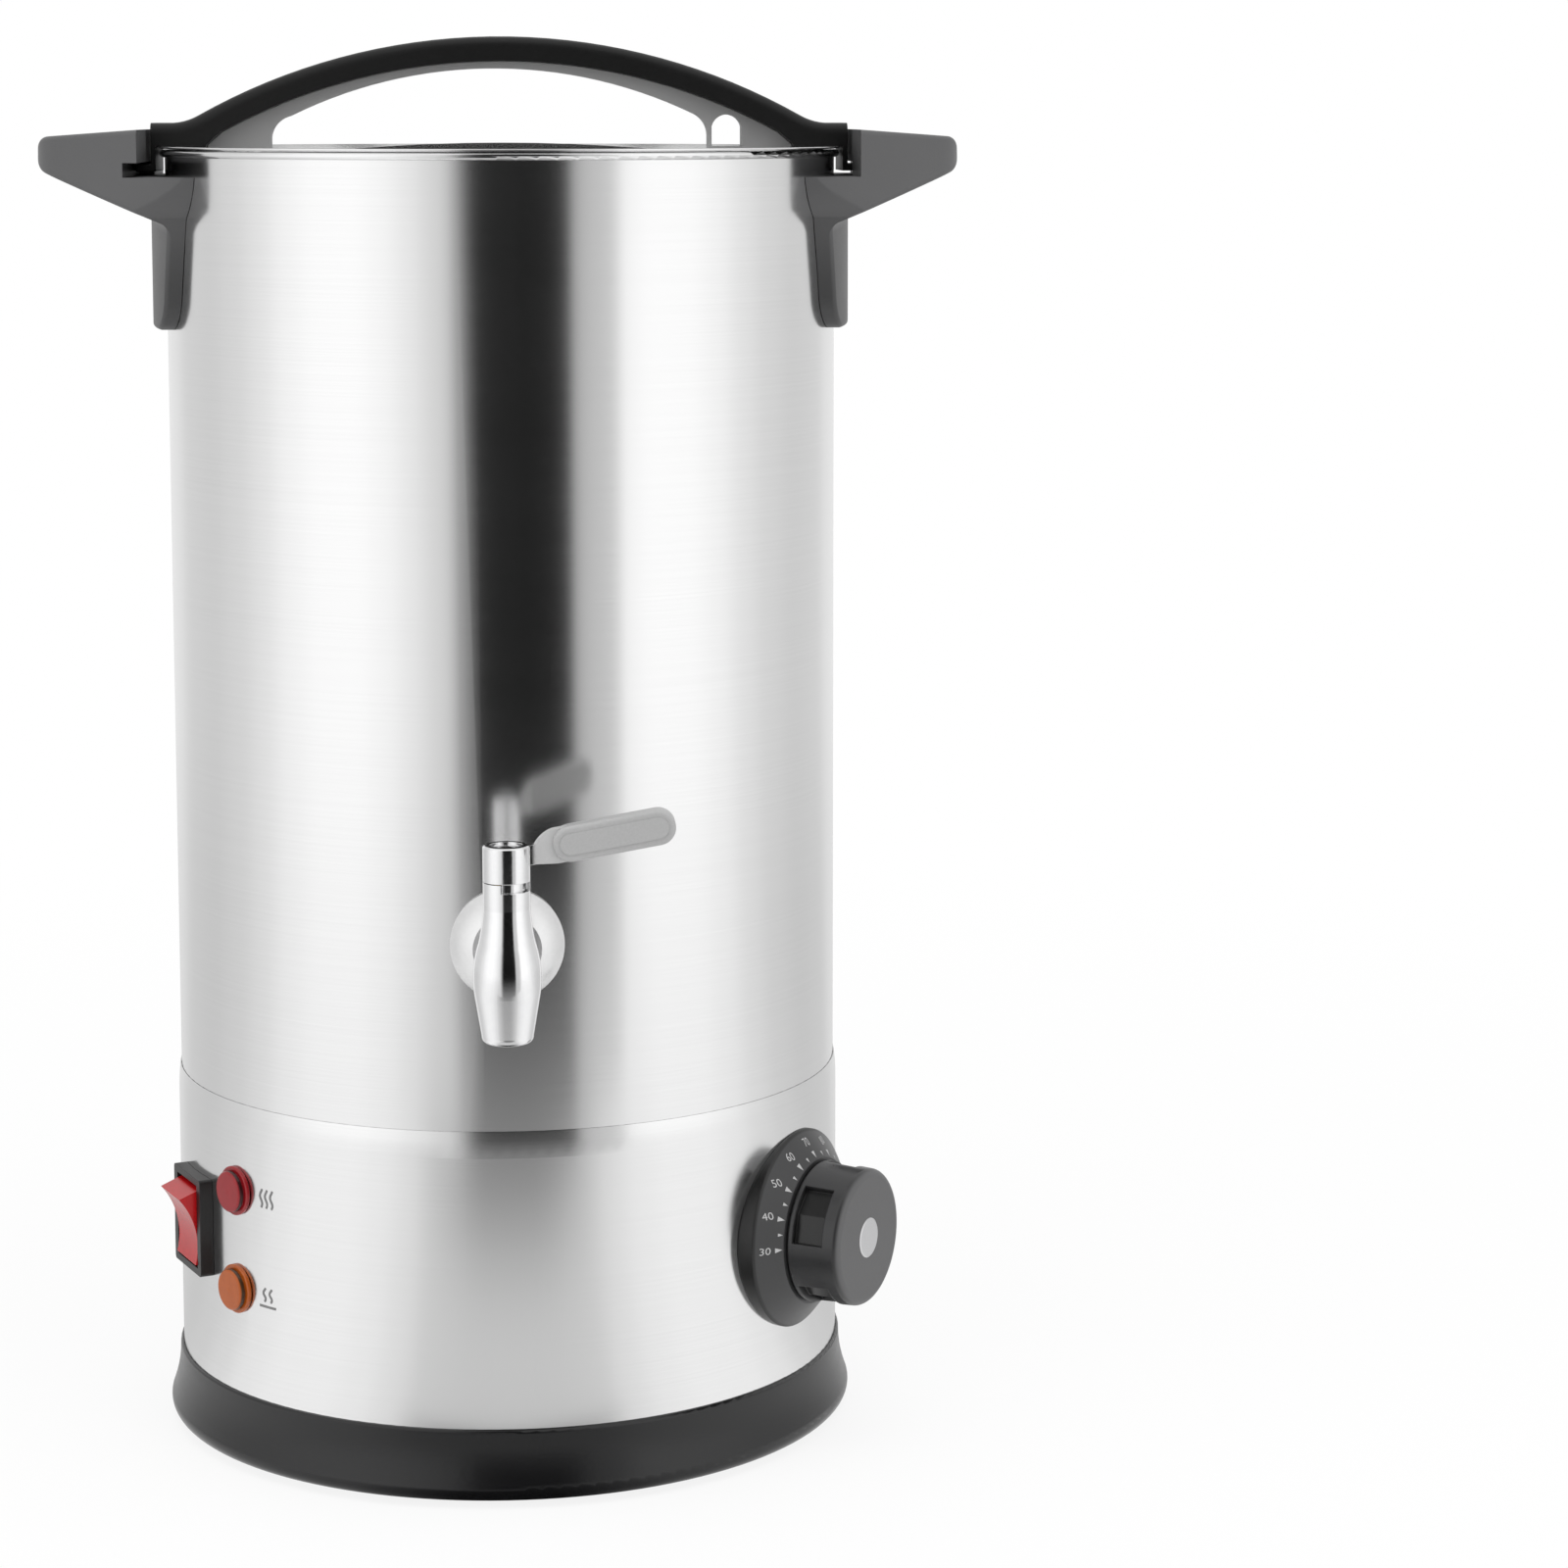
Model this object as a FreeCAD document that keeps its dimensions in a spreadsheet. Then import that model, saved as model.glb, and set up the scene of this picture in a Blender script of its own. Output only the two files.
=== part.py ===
import FreeCAD, Part
import math
import os
import Sketcher

# Electric wax melter: a stainless pot on a steel skirt and a plastic ring, with a twist-lock
# lid, two side handles, a plug tap and a thermostat knob.  Millimetres, +Z up, origin on the
# table under the pot's axis, tap towards -Y.  An azimuth turns from the tap towards +X.

doc = FreeCAD.newDocument("wax_melter")
sheet = doc.addObject("Spreadsheet::Sheet", "Sizes")

DRIVING_SIZES = [
    # pot
    ("pot_radius", 105.0), ("pot_wall", 0.8), ("pot_overlap", 12.0),
    ("rim_height", 404.0), ("rim_bead", 1.2),
    ("floor_lift", 1.0), ("floor_wall", 1.2), ("floor_flange", 7.0), ("weld_gap", 0.05),
    # steel skirt that houses the controls
    ("skirt_wall", 0.8), ("skirt_gap", 0.1), ("skirt_bottom", 9.0),
    ("skirt_top", 115.0), ("shoulder_depth", 8.0), ("skirt_edge", 0.25),
    # plastic base ring, cover plate and feet
    ("foot_height", 2.0), ("ring_top", 23.5), ("ring_lip", 0.9), ("ring_flare", 3.8),
    ("ring_flare_height", 5.0), ("ring_inset", 1.5), ("ring_ledge_width", 7.0), ("ring_ledge", 4.5),
    ("cover_wall", 1.5), ("cover_gap", 0.3), ("vent_length", 26.0), ("vent_width", 4.0),
    ("vent_circle", 48.0), ("foot_radius", 8.0), ("foot_inset", 19.3), ("cover_screw_inset", 4.0),
    ("fixing_radius", 1.5),
    # heater under the pot floor
    ("spreader_radius", 78.0), ("spreader_wall", 4.0), ("element_circle", 52.0),
    ("element_width", 8.0), ("element_depth", 7.0), ("element_sweep", 325.0),
    ("stud_radius", 2.5), ("stud_spacing", 66.0), ("clamp_wall", 2.0), ("clamp_width", 20.0),
    ("cutout_radius", 8.0), ("cutout_depth", 9.0), ("cutout_place", 28.0),
    ("bulb_radius", 3.0), ("bulb_length", 64.0), ("bulb_place", 27.0),
    # side handles
    ("handle_half_width", 50.0), ("leg_top_half_width", 43.9), ("leg_half_width", 36.8),
    ("leg_corner", 12.0), ("leg_wall", 4.4), ("leg_edge_wall", 5.8), ("leg_length", 54.0),
    ("grip_reach", 37.5), ("grip_tip_half_width", 34.0), ("grip_crown", 9.2), ("grip_tip", 9.7),
    ("grip_rake", 23.9), ("grip_fall", 4.1), ("grip_root_radius", 3.5), ("handle_edge_radius", 1.5),
    ("handle_shell", 3.5),
    ("channel_depth", 7.0), ("slot_height", 4.4), ("lock_clearance", 0.5), ("lock_end_gap", 0.85),
    ("handle_screw_radius", 2.0), ("upper_screw_drop", 21.0), ("lower_screw_drop", 43.0),
    # lid, its moulded handle and twist lock
    ("lid_wall", 0.6), ("lid_lift_gap", 0.3), ("lid_brim_reach", 1.8), ("lid_skirt_gap", 2.4),
    ("lid_skirt_depth", 8.0), ("lid_dome_rise", 2.0), ("arch_half_width", 14.0),
    ("arch_top", 36.2), ("arch_under", 28.6), ("opening_top", 26.4), ("block_top", 9.4),
    ("arch_end_inset", 7.1), ("arch_root_radius", 18.0), ("arch_foot_inset", 13.5),
    ("foot_width", 8.0), ("hook_wall", 1.5), ("hook_clearance", 0.4), ("tongue_reach", 4.5),
    ("tongue_wall", 2.1), ("tongue_lift", 1.5), ("web_half_width", 5.0), ("web_left_inset", 33.0),
    ("web_right_inset", 40.0), ("rib_wall", 1.2), ("window_width", 9.5), ("seat_gap", 0.3),
    ("gasket_wall", 1.5), ("gasket_height", 3.0), ("lid_screw_row", 8.0),
    # tap
    ("tap_height", 172.0), ("tap_reach", 40.0), ("tail_radius", 7.0), ("tail_length", 13.0),
    ("hub_wall", 1.6), ("tap_flange_radius", 17.0), ("tap_flange_depth", 7.4),
    ("spout_drop", 20.2), ("outlet_radius", 5.0), ("spout_wall", 2.5), ("spout_swell", 2.3),
    ("barrel_wall", 2.75), ("barrel_top", 26.7), ("cap_height", 10.6), ("cap_gap", 0.25),
    ("plug_radius", 4.0), ("running_gap", 0.05), ("port_radius", 2.6), ("washer_wall", 0.8),
    ("nut_flats", 24.0), ("nut_wall", 6.0), ("tap_washer_radius", 13.0),
    ("lever_slope", 10.1), ("lever_axis_rise", 7.8), ("sleeve_start", 13.5),
    ("sleeve_length", 35.6), ("sleeve_height", 10.4), ("sleeve_wall", 6.4), ("blade_wall", 3.0),
    ("blade_half_height", 3.4), ("neck_lap", 5.0),
    # rocker switch
    ("switch_azimuth", -67.5), ("switch_height", 72.0), ("bezel_side", 3.15),
    ("bezel_end", 2.2), ("bezel_stand", 3.4), ("switch_depth", 21.0),
    ("well_width", 19.2), ("well_height", 26.4), ("well_depth", 9.4), ("rocker_side_gap", 0.3),
    ("rocker_front_gap", 2.2), ("rocker_back_gap", 0.8), ("rocker_end", 6.5), ("rocker_dish", 3.8),
    ("rocker_back", 3.0), ("rocker_pivot", 3.3), ("rocker_tilt", 13.0), ("rocker_pin_radius", 1.5),
    # indicator lamps
    ("lamp_azimuth", -52.5), ("lamp_spacing", 31.0), ("lamp_radius", 7.6), ("lamp_flange", 1.2),
    ("lens_radius", 6.4), ("lamp_stand", 3.4), ("lamp_barrel_radius", 4.9), ("lamp_depth", 15.0),
    # thermostat and knob
    ("knob_azimuth", 58.0), ("knob_height", 70.0), ("knob_radius", 22.0), ("knob_face", 25.0),
    ("knob_cap", 5.5), ("knob_lip", 1.8), ("grip_floor", 2.4), ("grip_angle", 50.0),
    ("dial_radius", 31.0), ("dial_stand", 7.2), ("dial_rim", 0.9), ("dial_margin", 0.8),
    ("dial_gap", 0.5), ("shaft_radius", 3.0), ("thermostat_screw_spacing", 28.0),
    ("thermostat_depth", 32.0), ("thermostat_half_width", 17.0), ("thermostat_gap", 0.216),
    ("disc_radius", 6.2),
    # mains inlet at the back
    ("inlet_height", 48.0), ("inlet_flange_width", 50.0), ("inlet_flange_height", 24.0),
    ("inlet_stand", 2.4), ("inlet_body_width", 27.6), ("inlet_body_height", 20.0),
    ("inlet_body_depth", 24.0), ("inlet_wall", 1.6), ("inlet_well_depth", 17.0),
    ("inlet_screw_spacing", 40.0), ("hole_play", 0.3),
]

for row, (alias, value) in enumerate(DRIVING_SIZES, start=1):
    sheet.set("A%d" % row, alias.replace("_", " "))
    sheet.set("B%d" % row, str(value))
    sheet.setAlias("B%d" % row, alias)
doc.recompute()


class Size:
    """A number together with the spreadsheet expression that gives it."""

    def __init__(self, number, text):
        self.number = float(number)
        self.text = text

    def joined(self, other, sign, result):
        return Size(result, "(%s %s %s)" % (self.text, sign, other.text))

    def __add__(self, other):
        other = as_size(other)
        return self.joined(other, "+", self.number + other.number)

    def __radd__(self, other):
        return as_size(other) + self

    def __sub__(self, other):
        other = as_size(other)
        return self.joined(other, "-", self.number - other.number)

    def __rsub__(self, other):
        return as_size(other) - self

    def __mul__(self, other):
        other = as_size(other)
        return self.joined(other, "*", self.number * other.number)

    def __rmul__(self, other):
        return as_size(other) * self

    def __truediv__(self, other):
        other = as_size(other)
        return self.joined(other, "/", self.number / other.number)

    def __neg__(self):
        return as_size(0) - self


def as_size(value):
    return value if isinstance(value, Size) else Size(value, "%.6g" % value)


def cell(alias):
    """The named cell of the size sheet."""
    return Size(sheet.get(alias), "Sizes." + alias)


def root(size):
    return Size(math.sqrt(size.number), "sqrt(%s)" % size.text)


def swing(reach, half_width):
    """Furthest that the corners of a flat-ended piece reach while it turns about the pot's axis."""
    return root(reach * reach + half_width * half_width)


def bind(thing, path, value, unit=""):
    """Drive one property of a document object by an expression on the size sheet."""
    value = as_size(value)
    thing.setExpression(path, value.text + (" * 1 " + unit if unit else ""))


pieces = []


def piece(label):
    """A new sub-part, kept in the list of what is written out."""
    body = doc.addObject("PartDesign::Body", label)
    body.Label = label
    pieces.append(body)
    return body


def at_azimuth(body, azimuth):
    """Turn a piece that is drawn facing the tap side round the pot to its azimuth."""
    body.Placement = FreeCAD.Placement(FreeCAD.Vector(), FreeCAD.Vector(0, 0, 1), as_size(azimuth).number)
    bind(body, "Placement.Rotation.Angle", azimuth, "deg")


def new_sketch(body, plane, shift=0, rise=0, out=0, spin=0, turn=0):
    """A sketch on one of the body's own planes, moved in it and off it and turned by sizes."""
    sketch = body.newObject("Sketcher::SketchObject", "%s_sketch" % body.Label)
    support = [item for item in body.Origin.OriginFeatures if item.Role == plane][0]
    sketch.AttachmentSupport = [(support, "")]
    sketch.MapMode = "FlatFace"
    shift, rise, out, spin, turn = [as_size(value) for value in (shift, rise, out, spin, turn)]
    turning = FreeCAD.Rotation(FreeCAD.Vector(0, 1, 0), spin.number)
    if turn.number:
        turning = FreeCAD.Rotation(FreeCAD.Vector(0, 0, 1), turn.number)
    base = FreeCAD.Vector(shift.number, rise.number, out.number)
    sketch.AttachmentOffset = FreeCAD.Placement(base, turning)
    for path, value in (("Base.x", shift), ("Base.y", rise), ("Base.z", out)):
        if value.number:
            bind(sketch, "AttachmentOffset." + path, value)
    for value in (spin, turn):
        if value.number:
            bind(sketch, "AttachmentOffset.Rotation.Angle", value, "deg")
    return sketch


def pin_point(sketch, geometry, end, x, y):
    """Hold a point of the sketch at a place that follows the size sheet."""
    for kind, value in (("DistanceX", as_size(x)), ("DistanceY", as_size(y))):
        index = sketch.addConstraint(Sketcher.Constraint(kind, geometry, end, value.number))
        if "Sizes" in value.text:
            bind(sketch, "Constraints[%d]" % index, value)


def guide_point(sketch, x, y):
    point = Part.Point(FreeCAD.Vector(as_size(x).number, as_size(y).number, 0))
    index = sketch.addGeometry(point, True)
    pin_point(sketch, index, 1, x, y)
    return index


def add_arc(sketch, start, middle, end):
    """An arc through three places; gives its index and which of its ends comes first."""
    circle = Part.Circle(start, middle, end)
    centre = circle.Center
    angles = [math.atan2(point.y - centre.y, point.x - centre.x) for point in (start, end)]
    lift = (middle - start).cross(end - start).z
    first, last = (1, 2) if lift > 0 else (2, 1)
    if lift <= 0:
        angles.reverse()
    flat = Part.Circle(centre, FreeCAD.Vector(0, 0, 1), circle.Radius)
    arc = Part.ArcOfCircle(flat, angles[0], angles[1])
    return sketch.addGeometry(arc, False), first, last


def add_dome(sketch, start, end):
    """An arc about a centre on the sketch's upright axis, so that it turns into a sphere."""
    lift = end.y - start.y
    centre = (end.y + start.y) / 2 + (end.x * end.x - start.x * start.x) / (2 * lift)
    radius = math.hypot(start.x, start.y - centre)
    reach = (start.x + end.x) / 2
    crown = centre + math.copysign(math.sqrt(radius * radius - reach * reach), start.y - centre)
    arc = add_arc(sketch, start, FreeCAD.Vector(reach, crown, 0), end)
    sketch.addConstraint(Sketcher.Constraint("PointOnObject", arc[0], 3, -2))
    return arc


def outline(sketch, corners):
    """A closed outline.  A corner is (x, y) or (x, y, radius); between two corners ("via", x, y)
    bends the side through a point and ("dome",) bends it about the sketch's upright axis."""
    places = [corner for corner in corners if corner[0] not in ("via", "dome")]
    bends = {}
    count = 0
    for corner in corners:
        if corner[0] in ("via", "dome"):
            bends[count - 1] = corner[1:]
        else:
            count += 1
    points = [FreeCAD.Vector(as_size(c[0]).number, as_size(c[1]).number, 0) for c in places]
    total = len(points)
    arrive, leave, middles = [], [], []
    for i, point in enumerate(points):
        if len(places[i]) < 3:
            arrive.append(point)
            leave.append(point)
            middles.append(None)
            continue
        radius = as_size(places[i][2]).number
        back = (points[i - 1] - point).normalize()
        ahead = (points[(i + 1) % total] - point).normalize()
        half = back.getAngle(ahead) / 2
        arrive.append(point + back * (radius / math.tan(half)))
        leave.append(point + ahead * (radius / math.tan(half)))
        bisector = (back + ahead).normalize()
        middles.append(point + bisector * (radius / math.sin(half) - radius))
    sides = []
    for i in range(total):
        start, end = leave[i], arrive[(i + 1) % total]
        if i in bends and not bends[i]:
            sides.append(add_dome(sketch, start, end))
        elif i in bends:
            middle = FreeCAD.Vector(as_size(bends[i][0]).number, as_size(bends[i][1]).number, 0)
            sides.append(add_arc(sketch, start, middle, end))
        else:
            sides.append((sketch.addGeometry(Part.LineSegment(start, end), False), 1, 2))
    for i in range(total):
        before, after = sides[i - 1], sides[i]
        if len(places[i]) < 3:
            joint = Sketcher.Constraint("Coincident", before[0], before[2], after[0], after[1])
            sketch.addConstraint(joint)
            pin_point(sketch, after[0], after[1], places[i][0], places[i][1])
            continue
        arc, first, last = add_arc(sketch, arrive[i], middles[i], leave[i])
        corner = guide_point(sketch, places[i][0], places[i][1])
        for side in (before, after):
            sketch.addConstraint(Sketcher.Constraint("PointOnObject", corner, 1, side[0]))
        sketch.addConstraint(Sketcher.Constraint("Tangent", before[0], before[2], arc, first))
        sketch.addConstraint(Sketcher.Constraint("Tangent", arc, last, after[0], after[1]))
        radius = as_size(places[i][2])
        index = sketch.addConstraint(Sketcher.Constraint("Radius", arc, radius.number))
        if "Sizes" in radius.text:
            bind(sketch, "Constraints[%d]" % index, radius)
    for i, place in bends.items():
        if place:
            point = guide_point(sketch, place[0], place[1])
            sketch.addConstraint(Sketcher.Constraint("PointOnObject", point, 1, sides[i][0]))


def ring(sketch, x, y, radius):
    """A full circle in a sketch."""
    centre = FreeCAD.Vector(as_size(x).number, as_size(y).number, 0)
    circle = Part.Circle(centre, FreeCAD.Vector(0, 0, 1), as_size(radius).number)
    index = sketch.addGeometry(circle, False)
    pin_point(sketch, index, 3, x, y)
    size = sketch.addConstraint(Sketcher.Constraint("Radius", index, as_size(radius).number))
    bind(sketch, "Constraints[%d]" % size, radius)


def draw(sketch, loops):
    for loop in loops:
        if loop[0] == "ring":
            ring(sketch, *loop[1:])
        else:
            outline(sketch, loop)


def box_loop(half_width, half_height, x=0, y=0, radius=None):
    """A rectangle about a centre, with rounded corners if a radius is given."""
    extra = () if radius is None else (radius,)
    return [
        (x - half_width, y - half_height) + extra, (x + half_width, y - half_height) + extra,
        (x + half_width, y + half_height) + extra, (x - half_width, y + half_height) + extra,
    ]


def feature(body, kind, sketch):
    added = body.newObject("PartDesign::" + kind, "%s_%s" % (body.Label, kind.lower()))
    added.Profile = sketch
    return added


def tip_volume(body):
    doc.recompute()
    return body.Shape.Volume


def extrude(body, plane, loops, length, cut=False, reverse=False, both=False, **place):
    """Pad or pocket a sketch; a pocket that removes nothing stops the build."""
    sketch = new_sketch(body, plane, **place)
    draw(sketch, loops)
    before = tip_volume(body) if cut else 0
    solid = feature(body, "Pocket" if cut else "Pad", sketch)
    bind(solid, "Length", length)
    solid.Reversed = reverse
    if both:
        solid.SideType = "Symmetric"
    if cut and tip_volume(body) > before - 1e-6:
        raise ValueError("a pocket in %s removes nothing" % body.Label)
    return solid


def revolve(body, loops, plane="XZ_Plane", axis="V_Axis", angle=360, cut=False, **place):
    """Turn a sketch about one of its own axes, adding or removing material."""
    sketch = new_sketch(body, plane, **place)
    draw(sketch, loops)
    before = tip_volume(body) if cut else 0
    solid = feature(body, "Groove" if cut else "Revolution", sketch)
    solid.ReferenceAxis = (sketch, [axis])
    bind(solid, "Angle", angle)
    if cut and tip_volume(body) > before - 1e-6:
        raise ValueError("a groove in %s removes nothing" % body.Label)
    return solid


def turned_forward(body, profile, height, cut=False):
    """Turn a profile of (distance in front of the pot's axis, radius) about a level axis."""
    loop = []
    for corner in profile:
        if corner[0] == "via":
            loop.append(("via", -as_size(corner[1]), corner[2]))
        else:
            loop.append((-as_size(corner[0]),) + tuple(corner[1:]))
    return revolve(body, [loop], plane="YZ_Plane", axis="H_Axis", rise=height, cut=cut)


def repeat(body, features, count):
    """Repeat features round the pot's axis."""
    pattern = body.newObject("PartDesign::PolarPattern", "%s_pattern" % body.Label)
    pattern.Originals = features
    upright = [item for item in body.Origin.OriginFeatures if item.Role == "Z_Axis"][0]
    pattern.Axis = (upright, [""])
    pattern.Angle = 360
    pattern.Occurrences = count
    body.Tip = pattern
    doc.recompute()
    return pattern


def soften(body, radius, wanted, kind="Fillet"):
    """Round the edges of the body that the test picks."""
    doc.recompute()
    base = body.Tip
    names = ["Edge%d" % (i + 1) for i, edge in enumerate(base.Shape.Edges) if wanted(edge)]
    rounding = body.newObject("PartDesign::" + kind, "%s_rounding" % body.Label)
    rounding.Base = (base, names)
    bind(rounding, "Radius" if kind == "Fillet" else "Size", radius)
    body.Tip = rounding
    doc.recompute()


def radial_hole(body, azimuth, height, radius):
    """Drill through the wall at an azimuth, from the pot's axis outwards."""
    extrude(body, "XZ_Plane", [("ring", 0, height, radius)], outer_reach, cut=True, reverse=True,
            spin=azimuth)


def curved_seat(body, radius, half_height, height):
    """Hollow the back of a fitting so that it beds on a round wall of this radius."""
    revolve(body, [[(0, height - half_height), (radius, height - half_height),
                    (radius, height + half_height), (0, height + half_height)]], cut=True)


pot_radius = cell("pot_radius")
pot_inside = pot_radius - cell("pot_wall")
rim_height = cell("rim_height")
rim_top = rim_height + cell("rim_bead")
skirt_inside = pot_radius + cell("skirt_gap")
skirt_outside = skirt_inside + cell("skirt_wall")
skirt_top = cell("skirt_top")
pot_bottom = skirt_top - cell("pot_overlap")
floor_height = skirt_top + cell("floor_lift")
ring_inside = skirt_inside - cell("ring_inset")
cover_outside = ring_inside - cell("cover_gap")
cover_screw_circle = ring_inside - cell("cover_screw_inset")
foot_circle = cover_outside - cell("foot_inset")
fixing = cell("fixing_radius")
outer_reach = pot_radius + 30

# the lid's lock: a hook outside the rim, a tongue under the handle, and the room both turn in
hook_inside = pot_inside + cell("rim_bead") * 2 + cell("hook_clearance")
hook_outside = hook_inside + cell("hook_wall")
tongue_end = hook_outside + cell("tongue_reach")
channel_floor = rim_height - cell("channel_depth")
channel_wall = swing(hook_outside, cell("arch_half_width")) + cell("lock_clearance")
slot_wall = swing(tongue_end, cell("arch_half_width")) + cell("lock_clearance")
arch_end = pot_radius - cell("arch_end_inset")
arch_foot = pot_radius - cell("arch_foot_inset")


# ---- pot, skirt and base -------------------------------------------------------------------

def make_tank():
    """Straight steel wall with a rolled rim, drilled for the tap and the handle screws."""
    body = piece("tank")
    bead = cell("rim_bead")
    middle = pot_inside + bead
    revolve(body, [[
        (pot_inside, pot_bottom), (pot_radius, pot_bottom),
        (pot_radius, rim_height - bead), (middle, rim_height - bead),
        ("via", middle + bead * 0.70711, rim_height - bead * 0.70711),
        (middle + bead, rim_height), ("via", middle, rim_top), (pot_inside, rim_height),
    ]])
    radial_hole(body, 0, cell("tap_height"), cell("tail_radius") + 0.2)
    for azimuth in (90, -90):
        for drop in ("upper_screw_drop", "lower_screw_drop"):
            radial_hole(body, azimuth, rim_height - cell(drop), cell("handle_screw_radius") + 0.2)


def make_tank_floor():
    """Pressed floor with a turned-down flange, welded inside the wall."""
    body = piece("tank_floor")
    outside = pot_inside - cell("weld_gap")
    wall, low = cell("floor_wall"), floor_height
    revolve(body, [[
        (0, low), (outside - wall, low, 1.5), (outside - wall, low - cell("floor_flange")),
        (outside, low - cell("floor_flange")), (outside, low + wall, 2.7), (0, low + wall),
    ]])


def make_skirt():
    """Lower steel shell, drawn in at its shoulder, with every opening of the controls."""
    body = piece("control_skirt")
    shoulder = skirt_top - cell("shoulder_depth")
    edge = skirt_inside + cell("skirt_edge")
    revolve(body, [[
        (skirt_inside, cell("skirt_bottom")), (skirt_outside, cell("skirt_bottom")),
        (skirt_outside, shoulder),
        ("via", skirt_outside - (skirt_outside - edge) / 4, (shoulder + skirt_top) / 2),
        (edge, skirt_top), (skirt_inside, skirt_top),
    ]])
    switch_hole = box_loop(cell("well_width") / 2 + 1.4, cell("well_height") / 2 + 1.1,
                           y=cell("switch_height"))
    extrude(body, "XZ_Plane", [switch_hole], outer_reach, cut=True, reverse=True,
            spin=cell("switch_azimuth"))
    for side in (-1, 1):
        radial_hole(body, cell("lamp_azimuth"), cell("switch_height") + cell("lamp_spacing") * side / 2,
                    cell("lamp_barrel_radius") + cell("hole_play"))
        radial_hole(body, cell("knob_azimuth"),
                    cell("knob_height") + cell("thermostat_screw_spacing") * side / 2, fixing + 0.7)
    radial_hole(body, cell("knob_azimuth"), cell("knob_height"), cell("shaft_radius") + 2)
    play = cell("hole_play")
    inlet = [box_loop(cell("inlet_body_width") / 2 + play, cell("inlet_body_height") / 2 + play,
                      y=cell("inlet_height"))]
    for side in (-1, 1):
        inlet.append(("ring", cell("inlet_screw_spacing") * side / 2, cell("inlet_height"), fixing + 0.2))
    extrude(body, "XZ_Plane", inlet, outer_reach, cut=True, reverse=True, spin=180)


def make_base_ring():
    """Moulded ring: a lip round the skirt, a flared foot and a ledge that carries the skirt."""
    body = piece("base_ring")
    low, top = cell("foot_height"), cell("ring_top")
    lip_inside = skirt_outside + cell("skirt_gap")
    lip = lip_inside + cell("ring_lip")
    flare = skirt_outside + cell("ring_flare")
    flare_height = low + cell("ring_flare_height")
    ledge = cell("skirt_bottom")
    shelf = ring_inside - cell("ring_ledge_width")
    revolve(body, [[
        (ring_inside, low), (flare - 2.2, low), ("via", flare - 0.2, low + 1.6), (flare, flare_height),
        ("via", lip + 0.75, flare_height + 7.5), (lip, top - 1), ("via", lip - 0.25, top - 0.2),
        (lip - 0.7, top), (lip_inside, top), (lip_inside, ledge),
        (shelf, ledge), (shelf, cell("ring_ledge")), (ring_inside, cell("ring_ledge")),
    ]])
    hole = extrude(body, "XY_Plane", [("ring", cover_screw_circle, 0, fixing + 0.1)],
                   3, cut=True, reverse=True, out=cell("ring_ledge"))
    repeat(body, [hole], 4)


def make_bottom_cover():
    """Vented steel plate screwed up under the ring's ledge."""
    body = piece("bottom_cover")
    wall = cell("cover_wall")
    low = cell("ring_ledge") - wall
    extrude(body, "XY_Plane", [("ring", 0, 0, cover_outside)], wall, out=low)
    slot = box_loop(cell("vent_length") / 2, cell("vent_width") / 2, x=cell("vent_circle"),
                    radius=cell("vent_width") / 2 - 0.1)
    vent = extrude(body, "XY_Plane", [slot], wall + 1, cut=True, reverse=True, out=low - 0.5)
    repeat(body, [vent], 12)
    hole = extrude(body, "XY_Plane", [("ring", cover_screw_circle, 0, fixing + cell("hole_play"))],
                   wall + 1, cut=True, reverse=True, out=low - 0.5)
    repeat(body, [hole], 4)


def make_feet():
    """Four rubber buttons under the cover plate."""
    body = piece("feet")
    top = cell("ring_ledge") - cell("cover_wall")
    reach = foot_circle * 0.70711
    radius = cell("foot_radius")
    foot = revolve(body, [[
        (0, 0.8), (2.5, 0.8), (2.5, 0), (radius - 1.5, 0), (radius, top), (0, top),
    ]], shift=reach, out=reach)
    repeat(body, [foot], 4)


def make_cover_screws():
    body = piece("cover_screws")
    low = cell("ring_ledge") - cell("cover_wall")
    screw = revolve(body, [[
        (0, low - 0.9), (fixing - 0.6, low - 0.9), (fixing + 1.4, low), (fixing, low),
        (fixing, low + 4.2), (0, low + 4.2),
    ]], shift=cover_screw_circle)
    repeat(body, [screw], 4)


# ---- heater --------------------------------------------------------------------------------

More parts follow.
